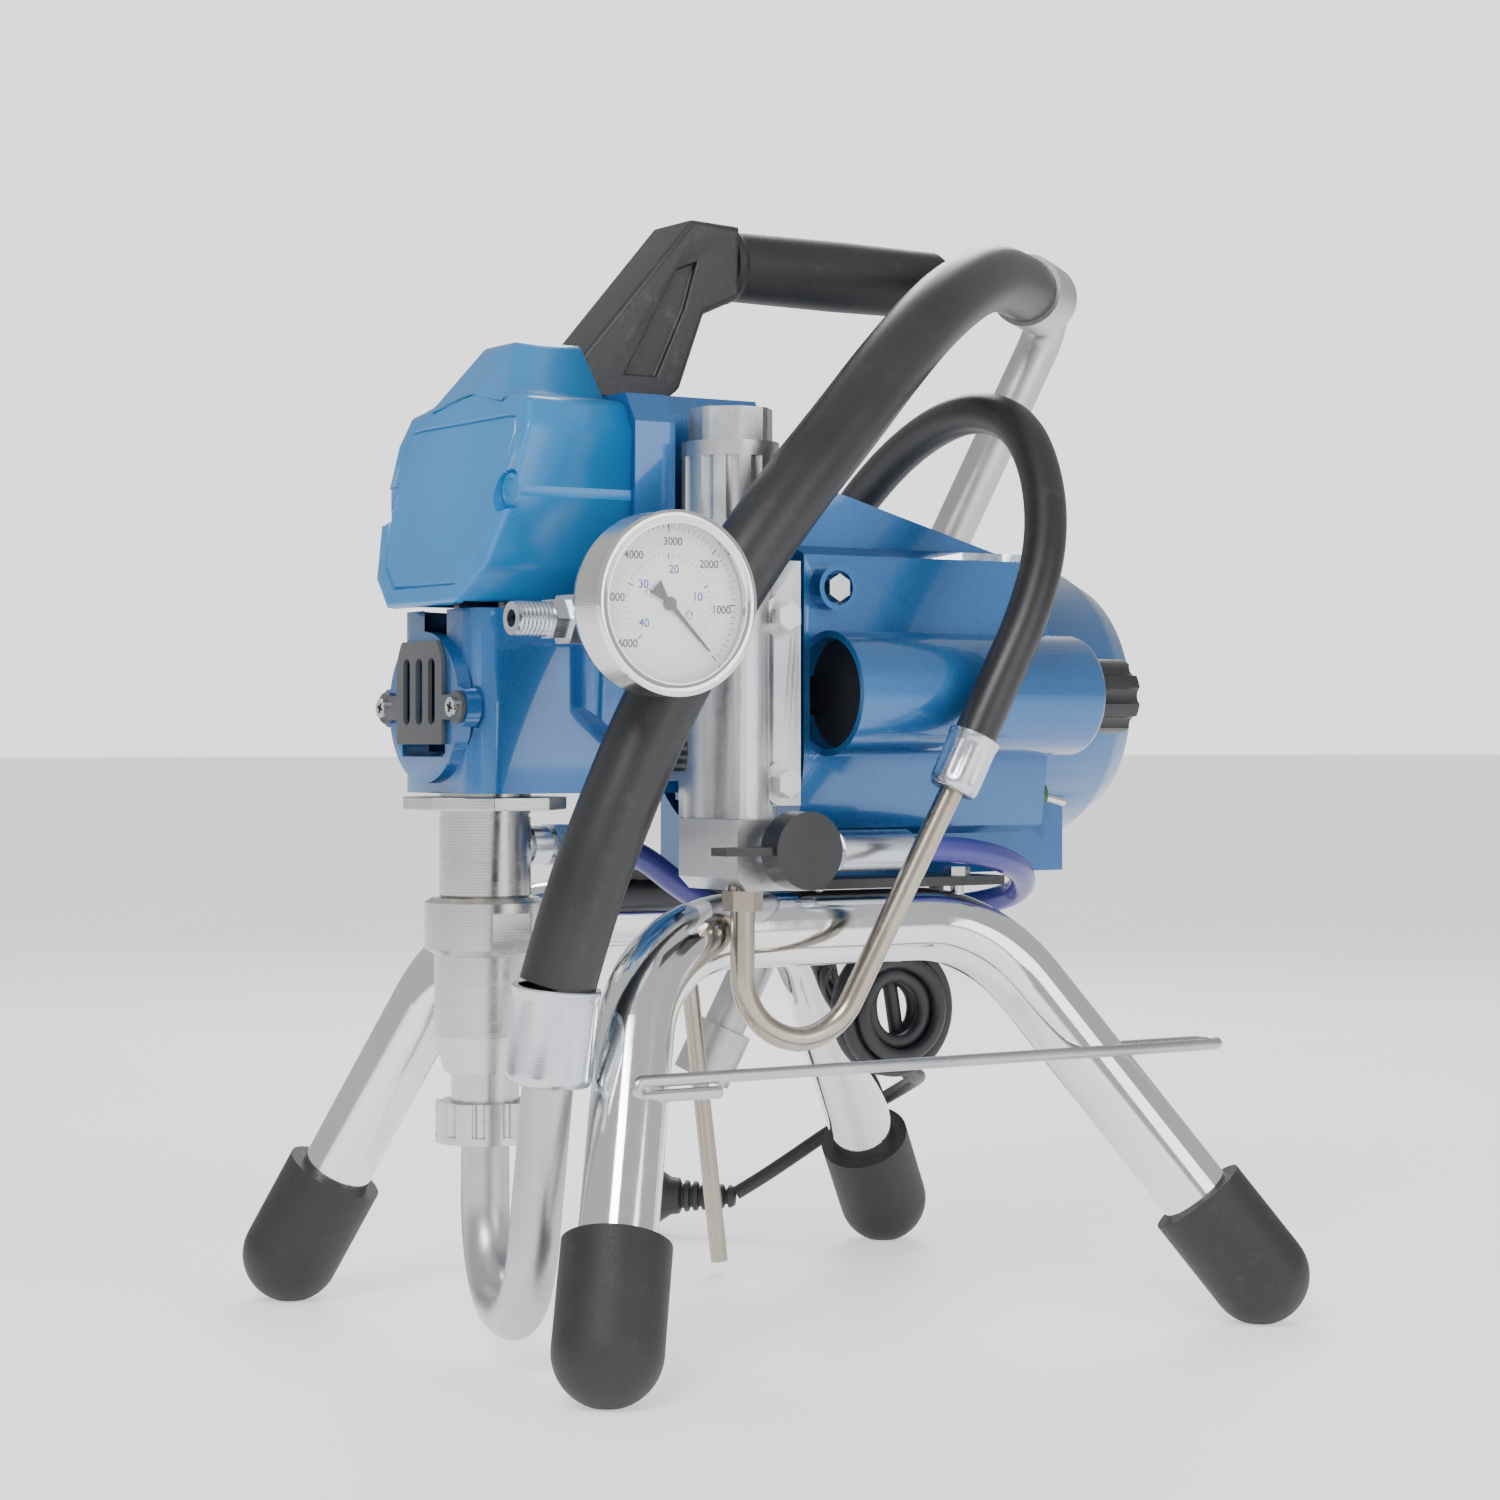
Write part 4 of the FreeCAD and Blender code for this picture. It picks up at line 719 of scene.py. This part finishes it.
def gauge():
    face = at(FACE_X, GAUGE[1], GAUGE[2])
    for name, count, radius, size, ink in (
            ("outer_ticks", 61, 29.2, (1.6, 0.22, 0.08), INK_BLACK), ("outer_marks", 7, 28.6,
                (2.8, 0.5, 0.08), INK_BLACK),
            ("inner_ticks", 41, 18.6, (1.3, 0.22, 0.08), INK_BLUE), ("inner_marks", 5, 18.0,
                (2.5, 0.5, 0.08), INK_BLUE)):
        bars_around(name, face, X, Y, count, radius, GAUGE_START, GAUGE_SWEEP / (count - 1), size, "pointer",
                    ink)
    for k in range(1, 7):
        dial_number(str(1000 * k), (k - 0.1) / 6.0, 23.6, 4.3, INK_BLACK)
    for k in range(1, 5):
        dial_number(str(10 * k), (k - 0.15) / 4.0, 13.2, 4.6, INK_BLUE)
    work = bmesh.new()
    lathe(work, [(33.2, 0), (34.8, 0.2), (35.3, 1.0), (35.2, 1.9), (34.3, 2.5), (33.0, 2.6), (31.2, 2.2),
                 (30.3, 1.2),
                 (30.25, 0.0)], at(GAUGE[0] + 20.2, GAUGE[1], GAUGE[2]), X, 96, closed=True)
    piece("polished_bezel", to_mesh("bezel", work), "gauge_steel", material=MATERIALS["ball_steel"])
    screws = bmesh.new()
    for y, z in ((-9, 4), (9, -4)):
        lathe(screws, [(1.5, 0), (1.5, 0.5), (1.1, 0.8), (0.2, 0.85)],
                      at(FACE_X, GAUGE[1] + y, GAUGE[2] + z), X, 24)
    piece("dial_screws", to_mesh("dial_screws", screws), "gauge_steel")


# ---- floor, light and camera ----
def area_light(name, place, target, power, size):
    data = bpy.data.lights.new(name, "AREA")
    data.energy, data.size = power, size
    lamp = bpy.data.objects.new(name, data)
    bpy.context.scene.collection.objects.link(lamp)
    lamp.location = place
    lamp.rotation_euler = (Vector(target) - Vector(place)).to_track_quat("-Z", "Y").to_euler()


def studio():
    work = bmesh.new()
    bmesh.ops.create_grid(work, x_segments=1, y_segments=1, size=60.0)
    mesh = to_mesh("floor", work)
    floor = bpy.data.objects.new("floor", mesh)
    floor.location = (0, 0, -0.0003)
    bpy.context.scene.collection.objects.link(floor)
    g = Graph("floor")
    soft = g.noise(1.5, 3.0)
    g.set(Base_Color=g.blend(soft.span(0.3, 0.7), (0.90, 0.90, 0.91), (0.94, 0.94, 0.95)))
    g.set(Emission_Color=(1.0, 1.0, 1.0, 1.0), Emission_Strength=0.7)
    g.set(Roughness=soft.span(0.3, 0.7, 0.5, 0.65))
    mesh.materials.append(g.material)
    world = bpy.data.worlds.new("studio")
    world.use_nodes = True
    tree = world.node_tree
    background = tree.nodes["Background"]
    background.inputs[0].default_value = (1.0, 1.0, 1.0, 1.0)
    seen = tree.nodes.new("ShaderNodeLightPath").outputs["Is Camera Ray"]
    strength = tree.nodes.new("ShaderNodeMapRange")
    strength.inputs["To Min"].default_value = 0.6
    strength.inputs["To Max"].default_value = 1.9
    tree.links.new(seen, strength.inputs["Value"])
    tree.links.new(strength.outputs[0], background.inputs[1])
    bpy.context.scene.world = world
    area_light("key", (1.3, -1.5, 1.9), (0, 0, 0.25), 42, 0.9)
    area_light("fill", (1.9, 0.5, 0.8), (0, 0, 0.25), 12, 1.2)
    area_light("rim", (-1.4, 1.0, 1.5), (0, 0, 0.3), 20, 0.8)
    camera_data = bpy.data.cameras.new("camera")
    camera_data.lens, camera_data.sensor_width, camera_data.shift_y = 77.3, 36.0, -0.0033
    camera = bpy.data.objects.new("camera", camera_data)
    camera.location = (1.1762, -0.7718, 0.2467)
    camera.rotation_euler = (math.radians(90), 0, math.radians(57))
    bpy.context.scene.collection.objects.link(camera)
    bpy.context.scene.camera = camera


castings()
front_cover()
cross_recesses()
hoses()
ferrules()
thread_and_knurl()
gauge()
studio()
